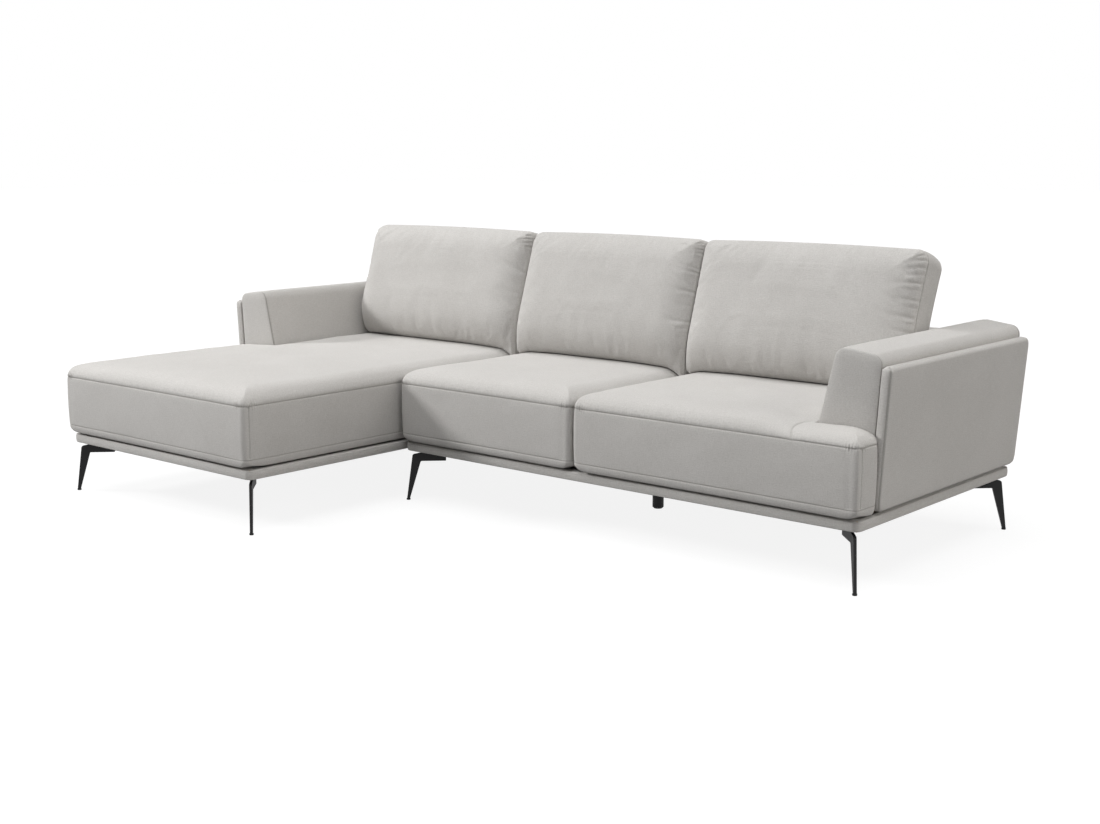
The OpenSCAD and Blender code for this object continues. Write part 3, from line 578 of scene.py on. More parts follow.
def buildSeat(name, body, corner, width, depth, armW=0.0, armD=0.0, mirror=False, seed=1, earDrop=0.0):
    s = seatShape
    wide = width - armW
    low, top = s["lowSeam"], s["topSeam"]
    acrossMarks, alongMarks, notch = [], [], None
    bands = bothEnds(width, s["cornerBand"])
    if armW:
        acrossMarks, alongMarks = [wide], [armD]
        bands.append((wide - 0.034, wide, 0.002))
    us = lines(width, s["rollW"], s["pitch"], acrossMarks, bands)
    vs = lines(depth, s["rollW"], s["pitch"], alongMarks, [s["cornerBand"], s["uprightBand"]])
    if armW:
        notch = (int(np.argmin(abs(us - wide))), int(np.argmin(abs(vs - armD))))
    close = np.array([0.0012, 0.0024, 0.0038, 0.0056, 0.008, 0.012, 0.018])
    heights = np.concatenate(
        [
            [0.002, 0.005, 0.009, 0.014],
            low - close[:5],
            [low],
            low + close,
            np.arange(low + 0.027, top - 0.02, 0.011),
            top - close,
        ]
    )
    heights = np.sort(heights)[::-1]

    def gathers(x, y, fade):
        # Small folds across the top seam beside the front corners
        front = bell(fromEnds(x, width) - 0.034, 0.019) * (y < 0.05)
        side = bell(y - 0.036, 0.017) * (fromEnds(x, width) < 0.05)
        turn = 2 * math.pi / s["gatherStep"]
        fold = front * np.cos(fromEnds(x, width) * turn) + side * np.cos(y * turn + 1)
        return s["gather"] * fold * fade

    def place(x, y, h, inset, seam, between=0.0):
        hereD = np.where((x > wide) & (armW > 0), armD or depth, depth)
        onSide = (np.abs(x) < 1e-6) | (np.abs(x - width) < 1e-6)
        onFront = np.abs(y) < 1e-6
        off = y - s["upright"]
        pinch = onSide * between * dents(off, s["uprightDents"])
        hollow = onFront * between * 0.0016 * (bell(width - x - 0.027, 0.015) + 0.5 * bell(x - 0.027, 0.015))
        total = inset + sideDraw(x, y, width, hereD, s["pull"]) + pinch + hollow
        px, py = roundPlan(x, y, width, hereD, s["radius"], total)
        py = np.minimum(py, hereD)
        near = fromEnds(x, width)
        rounding = bell(near, 0.026) * bell(y, 0.05) * np.clip(1 - h / 0.034, 0, 1) ** 2
        world = points(corner[0] + px, corner[1] + py, lineZ["seat"] + h + s["cornerLift"] * rounding, seam)
        # Painted shade along the upright seams
        world[..., 3] = np.maximum(world[..., 3], onSide * between * bell(off, 0.0014))
        return world

    def topFace(x, y):
        edge = toEdge(x, y, width, depth)
        ear = 0 * x
        if armW:
            ear = np.clip(1 + (x - wide + 0.01) / 0.14, 0, 1) * (1 - np.clip((y - armD) / 0.15, 0, 1))
        lift = (s["rollH"] - earDrop * ear * ear * (3 - 2 * ear)) * rise(edge / s["rollW"])
        span = np.minimum(fromEnds(x, width), y) / s["crownSpan"]
        crown = s["crown"] * np.sin(np.pi / 2 * np.minimum(1, span))
        beside = np.maximum(wide - x, armD - y) if armW else s["rollW"]
        dip = s["armDip"] * (1 - rise(np.maximum(0, beside) / 0.045)) * (edge > 0)
        inset = dents(lift, s["dents"])
        # Painted shade along the top seam
        seam = bell(lift, s["groove"])
        fold = gathers(x, y, bell(lift - 0.006, 0.009))
        world = place(x, y, top + lift + crown - dip, inset - fold, seam)
        soft = np.minimum(1, edge / 0.05)
        soft = soft * np.clip((depth - 0.20 - y) / 0.12, 0, 1)
        world[..., 2] += soft * ripples(world, s["topWaves"], seed)
        if armW and not mirror:
            # The seam between the seat and the lower strip in front of the arm
            line = wide - 0.012 - 0.014 * np.sin(np.pi * np.clip(y / armD, 0, 1))
            groove = bell(x - line, 0.0032) * (y < armD) * np.clip((armD - y) / 0.012, 0, 1)
            world[..., 2] -= 0.0022 * groove + 0.0016 * bell(x - line, 0.016) * (y < armD)
            # Painted shade in this seam's groove
            world[..., 3] = np.maximum(world[..., 3], groove * 0.7)
        return world

    def underFace(x, y):
        return place(x, y, 0.0, s["lowIn"] + 0.001, 0.0)

    def side(x, y, h):
        inset, seam = seatSide(h)
        between = float(np.clip((h - low) / 0.006, 0, 1) * np.clip((top - h) / 0.004 + 0.3, 0, 1))
        fold = gathers(x, y, 0.7 * float(bell(top - h, 0.010)))
        world = place(x, y, h, inset - fold, seam, between)
        wave = ripples(world, s["sideWaves"], seed + 2)
        world[..., 1] += wave * (y < 1e-6) * between
        world[..., 0] += wave * (fromEnds(x, width) < 1e-6) * between
        return world

    piece, rings = shell(name, us, vs, topFace, underFace, side, heights, notch, mirror)
    ring = latticeRing(len(us), len(vs), notch)
    ringU, ringV = us[ring[:, 0]], vs[ring[:, 1]]
    shown = ringV < (depth - 0.002 if not armW else armD - 0.002)
    shown |= (ringU < 1e-6) & (ringV < depth - 0.002)
    lowRow = 1 + int(np.argmin(abs(heights - low)))
    for row, up in ((0, 0.0017), (lowRow, 0.0016)):
        addTrail(body, splitTrail(rings[row] + [0, 0, up], shown))
    soften(piece, [name], body)


def buildSeats():
    s = seatShape
    depth = lineY["backFace"] - softGap - lineY["front"] + s["overhang"]
    armW = lineX["end"] - lineX["armFoot"] + softGap + s["overhang"]
    armD = lineY["arm"] - lineY["front"] + s["overhang"] - softGap
    reach = lineY["front"] - lineY["chaiseFront"]
    out = s["forward"]
    y0 = lineY["front"] - s["overhang"]
    x0 = lineX["joint"] + s["gap"] / 2
    x1 = lineX["split"] + s["gap"] / 2
    buildSeat(
        "seat_block_middle", "two_seater", (x0, y0 - out), lineX["split"] - s["gap"] / 2 - x0,
        depth + out, seed=3,
    )
    buildSeat(
        "seat_block_right", "two_seater", (x1, y0 - out), lineX["end"] + s["overhang"] - s["endIn"] - x1,
        depth + out, armW - s["endIn"], armD + out, seed=5, earDrop=s["earDrop"],
    )
    x2 = -(lineX["joint"] - s["gap"] / 2)
    buildSeat(
        "seat_block_chaise", "chaise", (x2, y0 - reach), lineX["end"] + s["overhang"] - x2,
        depth + reach, armW, armD + reach, mirror=True, seed=8, earDrop=0.003,
    )
    print("seats built")


buildSeats()


# Back cushions, each a front and a rear panel sewn to a boxed side. A pleat is, in the list of its side:
# place along the side as a share, length, depth, half width, slant.
cushionShape = {
    "lean": 19.0,  # degrees
    "footBack": 0.545,  # of their lower rear edge behind the plinth's front, but for the gusset
    "height": 0.414,
    "gusset": 0.095,  # depth of the boxed side
    "frontRise": 0.054,  # how far the front stands out, and how broad its edge rolls over
    "frontRoll": 0.085,
    "frontBelly": 0.017,
    "sideRoll": 0.115,
    "lowRoll": 0.150,
    "rearRise": 0.018,
    "rearBelly": 0.030,
    "rearRoll": 0.060,
    "lowRadius": 0.020,
    "inset": 0.160,  # of the outer sides from the plinth's ends
    "shift": 0.015,  # of the gaps between the cushions, to the right of the seats' gaps
    "outerPull": 0.006,  # how far a side is drawn in at its middle, where it is free and where it isn't
    "innerPull": 0.0008,
    "outerSwell": 0.004,
    "innerSwell": 0.0004,
    "topSwell": 0.006,
    "gap": 0.0026,
    "fullAt": 0.38,  # height of the fullest place, as a share
    "dip": 0.003,
    "groove": 0.0026,
    "pitch": (0.0052, 0.0034),
    "wave": 0.0022,
    "pleatDepth": 1.25,
    "clear": 0.0012,  # over the seat
    "followSeat": 0.95,  # share of the seats' fall that the undersides follow
    "tuck": 0.024,  # how far the lower front seam lies back
}
cushionPleats = {
    "back_cushion_left": {
        "right": [
            (0.965, 0.044, 0.0036, 0.0034, -0.20), (0.935, 0.060, 0.0044, 0.0036, -0.26),
            (0.900, 0.050, 0.0040, 0.0036, -0.18), (0.862, 0.036, 0.0030, 0.0036, -0.05),
            (0.64, 0.070, 0.0032, 0.0080, 0.30), (0.47, 0.030, 0.0014, 0.0040, 0.10),
        ],
        "top": [
            (0.955, 0.026, 0.0020, 0.0034, 0.25), (0.930, 0.020, 0.0014, 0.0034, 0.10),
        ],
    },
    "back_cushion_middle": {
        "right": [
            (0.970, 0.038, 0.0038, 0.0032, -0.25), (0.944, 0.044, 0.0042, 0.0034, -0.20),
            (0.915, 0.040, 0.0038, 0.0034, -0.12), (0.885, 0.034, 0.0032, 0.0034, -0.05),
            (0.850, 0.022, 0.0016, 0.0034, 0.0), (0.765, 0.046, 0.0036, 0.0036, 0.12),
            (0.735, 0.052, 0.0036, 0.0036, 0.10), (0.585, 0.056, 0.0036, 0.0042, 0.10),
            (0.480, 0.036, 0.0018, 0.0040, 0.05), (0.360, 0.054, 0.0034, 0.0042, 0.05),
            (0.310, 0.030, 0.0016, 0.0036, 0.0), (0.180, 0.030, 0.0016, 0.0036, -0.1),
        ],
        "top": [
            (0.965, 0.022, 0.0020, 0.0034, 0.2),
        ],
    },
    "back_cushion_right": {
        "right": [
            (0.972, 0.034, 0.0026, 0.0034, -0.30), (0.925, 0.050, 0.0032, 0.0038, -0.28),
            (0.873, 0.044, 0.0030, 0.0038, -0.22), (0.822, 0.040, 0.0024, 0.0034, -0.16),
            (0.762, 0.064, 0.0038, 0.0038, -0.10), (0.712, 0.032, 0.0018, 0.0034, -0.05),
            (0.640, 0.058, 0.0034, 0.0042, 0.02), (0.590, 0.030, 0.0016, 0.0036, 0.05),
            (0.520, 0.066, 0.0036, 0.0042, 0.08), (0.476, 0.034, 0.0020, 0.0036, 0.10),
            (0.420, 0.052, 0.0030, 0.0040, 0.10), (0.340, 0.030, 0.0014, 0.0038, 0.10),
            (0.270, 0.036, 0.0020, 0.0038, 0.05), (0.170, 0.036, 0.0020, 0.0038, 0.0),
        ],
        "top": [
            (0.972, 0.026, 0.0022, 0.0036, 0.3), (0.945, 0.020, 0.0016, 0.0036, 0.1),
        ],
        "left": [
            (0.64, 0.040, 0.0016, 0.0050, 0.1), (0.45, 0.050, 0.0018, 0.0055, 0.15),
        ],
    },
}


def lowPleats(seed):
    # Irregular small pleats along the bottom and the left seam
    rng = np.random.default_rng(seed)
    rows = (
        # seam, places, how far off them, lengths, depths, half width
        ("bottom", np.arange(0.08, 0.97, 0.085), 0.02, (0.025, 0.055), (0.0010, 0.0022), 0.0050),
        ("left", np.arange(0.12, 0.9, 0.13), 0.03, (0.02, 0.04), (0.0006, 0.0013), 0.0042),
    )
    pleats = []
    for side, places, off, lengths, depths, wide in rows:
        for at in places:
            at += rng.uniform(-off, off)
            length, deep = rng.uniform(*lengths), rng.uniform(*depths)
            pleats.append((side, at, length, deep, wide, rng.uniform(-0.2, 0.2)))
    return pleats


def pleatField(u, v, width, height, pleats):
    # How far a panel lies below (-) or above its plain form
    total = 0 * u
    for side, at, length, deep, wide, slant in pleats:
        deep = deep * cushionShape["pleatDepth"]
        inward = {"right": width - u, "left": u, "top": height - v, "bottom": v}[side]
        along = v - at * height if side in ("left", "right") else u - at * width
        along = along - slant * inward
        span = wide * (1 + 1.1 * inward / length)
        fade = bell(inward, length) * (0.35 + 0.65 * np.minimum(1, inward / 0.006))
        total = total - deep * fade * (bell(along, span) - 0.42 * bell(along, 2.3 * span))
    return total


def armInner(z):
    # Inner face of the arm pads at height z, as a distance from the sofa's middle
    foot, head = lineX["armFoot"], lineX["armHead"]
    share = np.clip((z - lineZ["armKnee"]) / (lineZ["armTop"] - lineZ["armKnee"]), 0, 1)
    return foot + (head - foot) * share


def seatFall(x):
    # How far a seat's top lies below its crown near the joint and the split
    s = seatShape
    away = np.minimum(np.abs(x - lineX["joint"]), np.abs(x - lineX["split"])) - s["gap"] / 2
    away = np.maximum(away, 0)
    crown = s["crown"] * (1 - np.sin(np.pi / 2 * np.minimum(1, away / s["crownSpan"])))
    return s["rollH"] * (1 - rise(away / s["rollW"])) + crown


def buildCushion(name, body, x0, x1, inner, topRadius, seed):
    c = cushionShape
    width, height = x1 - x0, c["height"]
    lean = math.radians(c["lean"])
    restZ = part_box(name)[0].z
    foot = lineY["front"] + c["footBack"] + c["gusset"] * math.cos(lean)
    us = lines(width, c["frontRoll"], c["pitch"][0], [], bothEnds(width, (0.003, 0.084, 0.0040)))
    vs = lines(height, c["frontRoll"], c["pitch"][1], [], bothEnds(height, (0.003, 0.084, 0.0034)))
    power = math.log(0.5) / math.log(c["fullAt"])
    pleats = [(seam, *row) for seam, rows in cushionPleats[name].items() for row in rows] + lowPleats(seed)
    pulls = [c["innerPull"] if side else c["outerPull"] for side in inner]
    swells = [c["innerSwell"] if side else c["outerSwell"] for side in inner]

    def place(u, v, depth, inset, seam):
        tu, tv = u / width, v / height
        pull = np.where(tu < 0.5, pulls[0], pulls[1])
        draw = np.where(
            nearSides(u, v, width, height),
            pull * 4 * tv * (1 - tv),
            np.where(tv > 0.5, -c["topSwell"] * 4 * tu * (1 - tu), 0),
        )
        radius = np.where(tv > 0.5, np.where(tu < 0.5, topRadius[0], topRadius[1]), c["lowRadius"])
        pu, pv = roundPlan(u, v, width, height, radius, inset + draw)
        up = np.maximum(0, pv)
        x = x0 + pu
        depth = depth - c["tuck"] * np.clip(depth / c["gusset"], 0, 1) * (1 - np.clip(v / 0.10, 0, 1)) ** 2
        y = foot + up * math.sin(lean) - depth * math.cos(lean)
        z = restZ + c["clear"] + up * math.cos(lean) + depth * math.sin(lean) * tv
        fall = seatFall(np.clip(x, x0 + 0.004, x1 - 0.004))
        z = z - c["followSeat"] * fall * (1 - np.clip(tv / 0.3, 0, 1)) ** 2
        side = armInner(z) - softGap - c["outerSwell"]
        squeeze = tu**3 * np.maximum(0, x1 - side) - (1 - tu) ** 3 * np.maximum(0, -side - x0)
        return points(x - squeeze, y, z, seam)

    def panel(u, v, base, sign, lift, roll, belly, field):
        near = toEdge(u, v, width, height)
        beside = fromEnds(u, width) / c["sideRoll"]
        lowEdge = rise(v / c["lowRoll"]) ** (1 + 0.35 * (sign > 0))
        edge = rise(np.minimum(beside, (height - v) / roll)) * lowEdge
        across = 1 - np.abs(2 * u / width - 1) ** 2.2
        up = np.sin(np.pi * (v / height) ** power)
        flat = np.maximum(0, 1 - near / roll) ** 2
        depth = base + sign * (lift * edge + belly * across * up + field * edge)
        inset = c["dip"] * bell(lift * edge, c["groove"]) - field * flat
        limit = np.where(near < 0.02, np.where(u < width / 2, -swells[0], -swells[1]), -1)
        inset = np.where(nearSides(u, v, width, height), np.maximum(inset, limit), inset)
        # The last value is the painted shade along the panel's seam
        return place(u, v, depth, inset, bell(lift * edge, c["groove"] * 0.8))

    def front(u, v):
        spot = points(x0 + u, 0 * u, v)
        soft = np.minimum(1, toEdge(u, v, width, height) / 0.05)
        field = pleatField(u, v, width, height, pleats)
        field += soft * c["wave"] * (ripple(spot, 0.26, seed) + 0.35 * ripple(spot, 0.10, seed + 50))
        return panel(u, v, c["gusset"], 1, c["frontRise"], c["frontRoll"], c["frontBelly"], field)

    def rear(u, v):
        return panel(u, v, 0.0, -1, c["rearRise"], c["rearRoll"], c["rearBelly"], 0 * u)

    def side(u, v, depth):
        t = depth / c["gusset"]
        here = np.where(u < width / 2, swells[0], swells[1])
        most = np.where(nearSides(u, v, width, height), here, c["outerSwell"])
        most = np.where(v < 0.002, 0, most)
        near = min(depth, c["gusset"] - depth)
        folds = pleatField(u, v, width, height, pleats) * float(bell((c["gusset"] - depth) / 0.022, 1)) * 0.7
        inset = -most * math.sin(math.pi * t) + c["dip"] * bell(near, c["groove"]) - np.minimum(folds, 0)
        # The last value is the painted shade along the boxed side's seams
        return place(u, v, depth, inset, bell(near, c["groove"] * 0.8))

    close = np.array([0.0014, 0.003, 0.005, 0.009])
    depths = np.concatenate([c["gusset"] - close, np.arange(c["gusset"] - 0.015, 0.012, -0.007), close[::-1]])
    piece, rings = shell(name, us, vs, front, rear, side, depths)
    gridU, gridV = np.meshgrid(us, vs)
    swellCloth(piece, gridU.ravel(), gridV.ravel(), width, height, lean)
    forward = np.array([0, -math.cos(lean), math.sin(lean)]) * 0.0015
    for rim, way in ((rings[0], 1), (rings[-1], -1)):
        addTrail(body, [np.vstack([rim, rim[:1]]) + way * forward])
    soften(piece, [name], body)


# Cloth simulation of a cushion's front. Its seams are held, and of the broad swelling only a share stays.
swellSetup = {
    "voxel": 0.008,
    "frames": 20,
    "settings": {
        "quality": 6,
        "mass": 0.3,
        "tension_stiffness": 20,
        "compression_stiffness": 20,
        "shear_stiffness": 8,
        "bending_stiffness": 0.4,
        "use_pressure": True,
        "uniform_pressure_force": 3.0,
        "shrink_min": -0.024,  # the cloth is larger than its form
        "vertex_group_mass": "held",
        "pin_stiffness": 1,
    },
    "hold": 0.006,  # the cloth is held this far in from the seams
    "fade": 0.012,
    "broad": 0.15,  # share of the broad swelling that stays
    "cap": 0.028,
    "fine": 0.0030,  # the most that a fold may stand out
    "middle": 0.30,  # share of the folds that stays away from the seams
    "seamZone": 0.065,
}


def coordinates(mesh):
    flat = np.empty(len(mesh.vertices) * 3, np.float32)
    mesh.vertices.foreach_get("co", flat)
    return flat.reshape(-1, 3).astype(float)


def treeOf(places):
    tree = KDTree(len(places))
    for index, place in enumerate(places):
        tree.insert(place, index)
    tree.balance()
    return tree


def swellCloth(piece, us, vs, width, height, lean):
    # Lays the swelling and folds of a coarse simulated cloth on the front points of a cushion
    w = swellSetup
    scene = bpy.context.scene
    rest = coordinates(piece.data)
    count = len(us)
    form = addObject(piece.name + "_form", piece.data.copy())
    remesh = form.modifiers.new("even", "REMESH")
    remesh.mode = "VOXEL"
    remesh.voxel_size = w["voxel"]
    even = bpy.data.meshes.new_from_object(form.evaluated_get(bpy.context.evaluated_depsgraph_get()))
    form.modifiers.clear()
    form.data = even
    start = coordinates(even)

    lattice = treeOf(rest)
    nearest = np.array([lattice.find(place)[1] for place in start])
    edge = toEdge(us, vs, width, height)
    edge = np.concatenate([edge, np.zeros(len(rest) - count)])
    weights = 1 - np.clip((edge[nearest] - w["hold"]) / w["fade"], 0, 1)
    held = form.vertex_groups.new(name="held")
    for index in np.flatnonzero(weights > 0):
        held.add([int(index)], float(weights[index]), "REPLACE")

    sheet = form.modifiers.new("cloth", "CLOTH")
    for key, value in w["settings"].items():
        setattr(sheet.settings, key, value)
    sheet.settings.effector_weights.gravity = 0
    sheet.collision_settings.use_collision = False
    sheet.point_cache.frame_start = 1
    sheet.point_cache.frame_end = w["frames"]
    now = scene.frame_current
    for step in range(1, w["frames"] + 1):
        scene.frame_set(step)
    after = coordinates(form.evaluated_get(bpy.context.evaluated_depsgraph_get()).to_mesh())
    scene.frame_set(now)
    move = after - start
    long = np.linalg.norm(move, axis=1, keepdims=True)
    move *= np.minimum(1, w["cap"] / np.maximum(long, 1e-9))
    print(piece.name, "cloth moved", round(float(long.max()) * 1000, 1), "mm at most,",
          round(float(long.mean()) * 1000, 1), "on average,", len(start), "points")

    tree = treeOf(start)
    spread = np.zeros((count, 3))
    for index in range(count):
        found = tree.find_n(rest[index], 6)
        share = np.array([1 / (f[2] ** 2 + 4e-6) for f in found])
        spread[index] = (share[:, None] * move[[f[1] for f in found]]).sum(0) / share.sum()
    out = np.array([0.0, -math.cos(lean), math.sin(lean)])
    forward = spread @ out
    waves = [
        np.sin(i * np.pi * us / width) * np.sin(j * np.pi * vs / height)
        for i in (1, 2, 3, 4)
        for j in (1, 2, 3)
    ]
    waves = np.stack(waves, 1)
    broad = waves @ np.linalg.lstsq(waves, forward, rcond=None)[0]
    folds = w["fine"] * np.tanh((forward - broad) / w["fine"])
    kept = w["middle"] + (1 - w["middle"]) * bell(edge[:count], w["seamZone"])
    forward = w["broad"] * broad + folds * kept
    forward *= np.clip((edge[:count] - 0.004) / 0.012, 0, 1)
    rest[:count] += forward[:, None] * out
    piece.data.vertices.foreach_set("co", rest.ravel().astype(np.float32))
    piece.data.update()
    bpy.data.objects.remove(form)


def buildCushions():
    c = cushionShape
    outer = lineX["end"] - c["inset"]
    half = c["gap"] / 2
    first, second = lineX["joint"] + c["shift"], lineX["split"] + c["shift"]
    spans = [
        ("back_cushion_left", -outer, first - half, (False, True), (0.060, 0.030), "left_cushion"),
        ("back_cushion_middle", first + half, second - half, (True, True), (0.044, 0.028), "middle_cushion"),
        ("back_cushion_right", second + half, outer, (True, False), (0.034, 0.040), "right_cushion"),
    ]
    for seed, (name, x0, x1, inner, topRadius, body) in enumerate(spans):
        buildCushion(name, body, x0, x1, inner, topRadius, 20 + seed)
    print("back cushions built")


buildCushions()


# Arms: an inner pad with a sewn front panel, and a thin wing panel outside it
armShape = {
    "width": 0.150,
    "fall": 0.018,  # of the top towards the wing
    "radius": 0.032,
    "dip": 0.0036,
    "groove": 0.0036,
    "dome": 0.007,  # of the front and rear ends
    "domeSpan": 0.040,
    "topBulge": 0.003,
    "pitch": 0.010,
    "footDepth": 0.037,  # the rear end reaches down to the plinth, this deep
    "footRadius": 0.009,
    "footFrom": 0.420,
}
wingShape = {
    "thick": 0.032,
    "lean": 3.4,  # degrees outwards
    "out": 0.010,  # beyond the plinth at its foot
    "radius": 0.026,
    "frontRadius": 0.016,
    "roll": 0.013,
    "frontRoll": 0.005,
    "stripBulge": 0.002,
    "waves": ((0.0011, 0.28), (0.0004, 0.09)),
    "pitch": 0.016,
}


def wingInner(z):
    # Inner face of the right wing panel at height z
    lean = math.radians(wingShape["lean"])
    return (
        lineX["end"] + wingShape["out"] + (z - lineZ["wing"]) * math.tan(lean)
        - wingShape["thick"] / math.cos(lean)
    )


def buildArmPad(name, body, mirror):
    a = armShape
    width, height = a["width"], lineZ["armTop"] - lineZ["padFoot"]
    us = lines(width, 0.030, a["pitch"])
    vs = lines(height, 0.030, a["pitch"])
    y0, y1 = lineY["arm"], lineY["rear"]

    stretch = (a["footFrom"] - lineZ["padRear"]) / (a["footFrom"] - lineZ["padFoot"])

    def place(u, v, y, inset, seam):
        radius = np.where(v < height / 2, a["footRadius"], a["radius"])
        pu, pv = roundPlan(u, v, width, height, radius, inset)
        tu, tv = pu / width, pv / height
        share = (y - y0) / (y1 - y0)
        top = lineZ["armTop"] - a["fall"] * tu + 0.003 * share
        z = lineZ["padFoot"] + (top - lineZ["padFoot"]) * tv
        drop = np.clip((y - y1 + a["footDepth"]) / 0.003 + 0.5, 0, 1)
        z = z - (stretch - 1) * drop * np.maximum(0, a["footFrom"] - z)
        x0, x1 = armInner(z), wingInner(z) - softGap
        return points(x0 + (x1 - x0) * tu, y + (rearY(z) - y1) * share, z, seam)

    def cap(u, v, y, way):
        bulge = rise(toEdge(u, v, width, height) / a["domeSpan"])
        depth = bulge * a["dome"]
        # The last value is the painted shade along the panel's seam
        return place(u, v, y + way * (a["dome"] - depth), a["dip"] * bell(depth, 0.0016), bell(depth, 0.0012))

    def front(u, v):
        return cap(u, v, y0, 1)

    def rear(u, v):
        return cap(u, v, y1, -1)

    def side(u, v, y):
        near = min(y - y0 - a["dome"], y1 - a["dome"] - y)
        bulge = a["topBulge"] * (1 - float(rise(near / 0.06)))
        # The last value is the painted shade along the seams
        return place(u, v, y, a["dip"] * bell(near, a["groove"]) + bulge, bell(near, a["groove"] * 0.8))

    close = np.array([0.0012, 0.0026, 0.0045, 0.007, 0.011, 0.018, 0.028, 0.042])
    first, last = y0 + a["dome"], y1 - a["dome"]
    middle = np.linspace(first + 0.06, last - 0.06, 50)
    step = y1 - a["footDepth"] + np.array([-0.0015, 0.0015])
    ys = np.sort(np.concatenate([first + close, middle, step, last - close]))
    piece, rings = shell(name, us, vs, front, rear, side, ys, mirror=mirror)
    for rim, way in ((rings[0], 1), (rings[-1], -1)):
        addTrail(body, splitTrail(rim + [0, way * 0.0016, 0], rim[:, 2] > lineZ["armKnee"]))
    soften(piece, [name], body)


def buildWing(name, body, mirror, seed=40):
    w = wingShape
    lean = math.radians(w["lean"])
    depth = lineY["rear"] - lineY["arm"]
    height = (lineZ["wingTop"] - lineZ["wing"]) / math.cos(lean)
    us = lines(depth, w["roll"], w["pitch"])
    vs = lines(height, w["roll"], w["pitch"])

    def place(u, v, x, inset, seam):
        radius = np.where((u < 0.1) & (v > 0.1), w["frontRadius"], w["radius"])
        pu, pv = roundPlan(u, v, depth, height, radius, inset)
        z = lineZ["wing"] + pv * math.cos(lean) - x * math.sin(lean)
        return points(
            lineX["end"] + w["out"] + x * math.cos(lean) + pv * math.sin(lean),
            lineY["arm"] + pu + (rearY(z) - lineY["rear"]) * pu / depth,
            z,
            seam,
        )

    def fallAway(u, v):
        others = np.minimum(fromEnds(v, height), depth - u)
        front = w["frontRoll"] * (1 - rise(u / w["frontRoll"]))
        return np.maximum(front, w["roll"] * (1 - rise(others / w["roll"])))

    def outer(u, v):
        # Painted shade along the front seam, which also sets a slight dent there
        seam = bell(u, 0.0030)
        spot = points(u, 0 * u, v)
        soft = np.minimum(1, toEdge(u, v, depth, height) / 0.05)
        wave = soft * ripples(spot, w["waves"], seed)
        return place(u, v, wave - fallAway(u, v) - 0.0018 * bell(u, 0.0045), 0.0018 * seam, seam)

    def inner(u, v):
        return place(u, v, fallAway(u, v) - w["thick"], 0.0, 0.0)

    def side(u, v, t):
        drop = fallAway(u, v)
        x = -drop - t * (w["thick"] - 2 * drop)
        strip = 0.0015 * bell(t, 0.08) - w["stripBulge"] * math.sin(math.pi * t)
        # The last value is the painted shade along the front seam
        return place(u, v, x, np.clip(1 - u / 0.02, 0, 1) * strip, bell(t, 0.06) * (u < 0.002))

    through = np.array([0.04, 0.09, 0.16, 0.26, 0.38, 0.5, 0.62, 0.74, 0.84, 0.92])
    piece, rings = shell(name, us, vs, outer, inner, side, through, mirror=mirror)
    rim = rings[0]
    addTrail(body, splitTrail(rim + [0, -0.0002, 0], rim[:, 1] < lineY["arm"] + 0.012))
    soften(piece, [name], body)


for sideName, bodyName, flipped in (("right", "two_seater", False), ("left", "chaise", True)):
    buildArmPad(sideName + "_arm_pad", bodyName, flipped)
    buildWing(sideName + "_wing_panel", bodyName, flipped)
print("arms built")


# Upholstered backs behind the cushions
backShape = {
    "radius": backRadius,
    "corner": 0.012,
    "roll": 0.024,
    "dome": 0.004,
    "domeSpan": 0.030,
    "pitch": 0.016,
}


def buildBack(name, body, x0, x1):
    b = backShape
    z0, z1 = lineZ["seat"], lineZ["backTop"]
    height = z1 - z0
    width = x1 - x0
    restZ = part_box("back_cushion_middle")[0].z
    lean = math.tan(math.radians(cushionShape["lean"]))
    y0 = lineY["backFace"]
    us = lines(width, b["roll"], b["pitch"])
    vs = lines(height, b["radius"], b["pitch"])

    def place(u, v, y):
        pu, pv = roundPlan(u, v, width, height, b["corner"])
        side = armInner(z0 + pv) - softGap
        return points(np.clip(x0 + pu, -side, side), y, z0 + pv)

    def roundTop(v):
        return b["radius"] * (1 - rise((height - v) / b["radius"]))

    def frontY(v):
        return y0 + np.maximum(0, z0 + v - restZ) * lean + roundTop(v)

    def backY(u, v):
        dome = b["dome"] * (1 - rise(toEdge(u, v, width, height) / b["domeSpan"]))
        return rearY(z0 + v) - roundTop(v) - dome

    def front(u, v):
        return place(u, v, frontY(v))

    def rear(u, v):
        return place(u, v, backY(u, v))

    def side(u, v, t):
        return place(u, v, frontY(v) + (backY(u, v) - frontY(v)) * t)

    piece, _ = shell(name, us, vs, front, rear, side, np.linspace(0, 1, 16)[1:-1])
    soften(piece, [name], body)


buildBack("pair_back_panel", "two_seater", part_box("pair_back_panel")[0].x, lineX["end"])
buildBack("chaise_back_panel", "chaise", -lineX["end"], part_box("chaise_back_panel")[1].x)
print("backs built")


# Padded cloth round the plinths, one ring a unit
plinthShape = {
    "radius": 0.024,
    "thick": 0.008,
    "edge": 0.0045,
    "bulge": 0.0012,
    "flap": 0.045,  # the cloth turned over the timber
    "pitch": 0.020,
    "cornerSteps": 10,
}


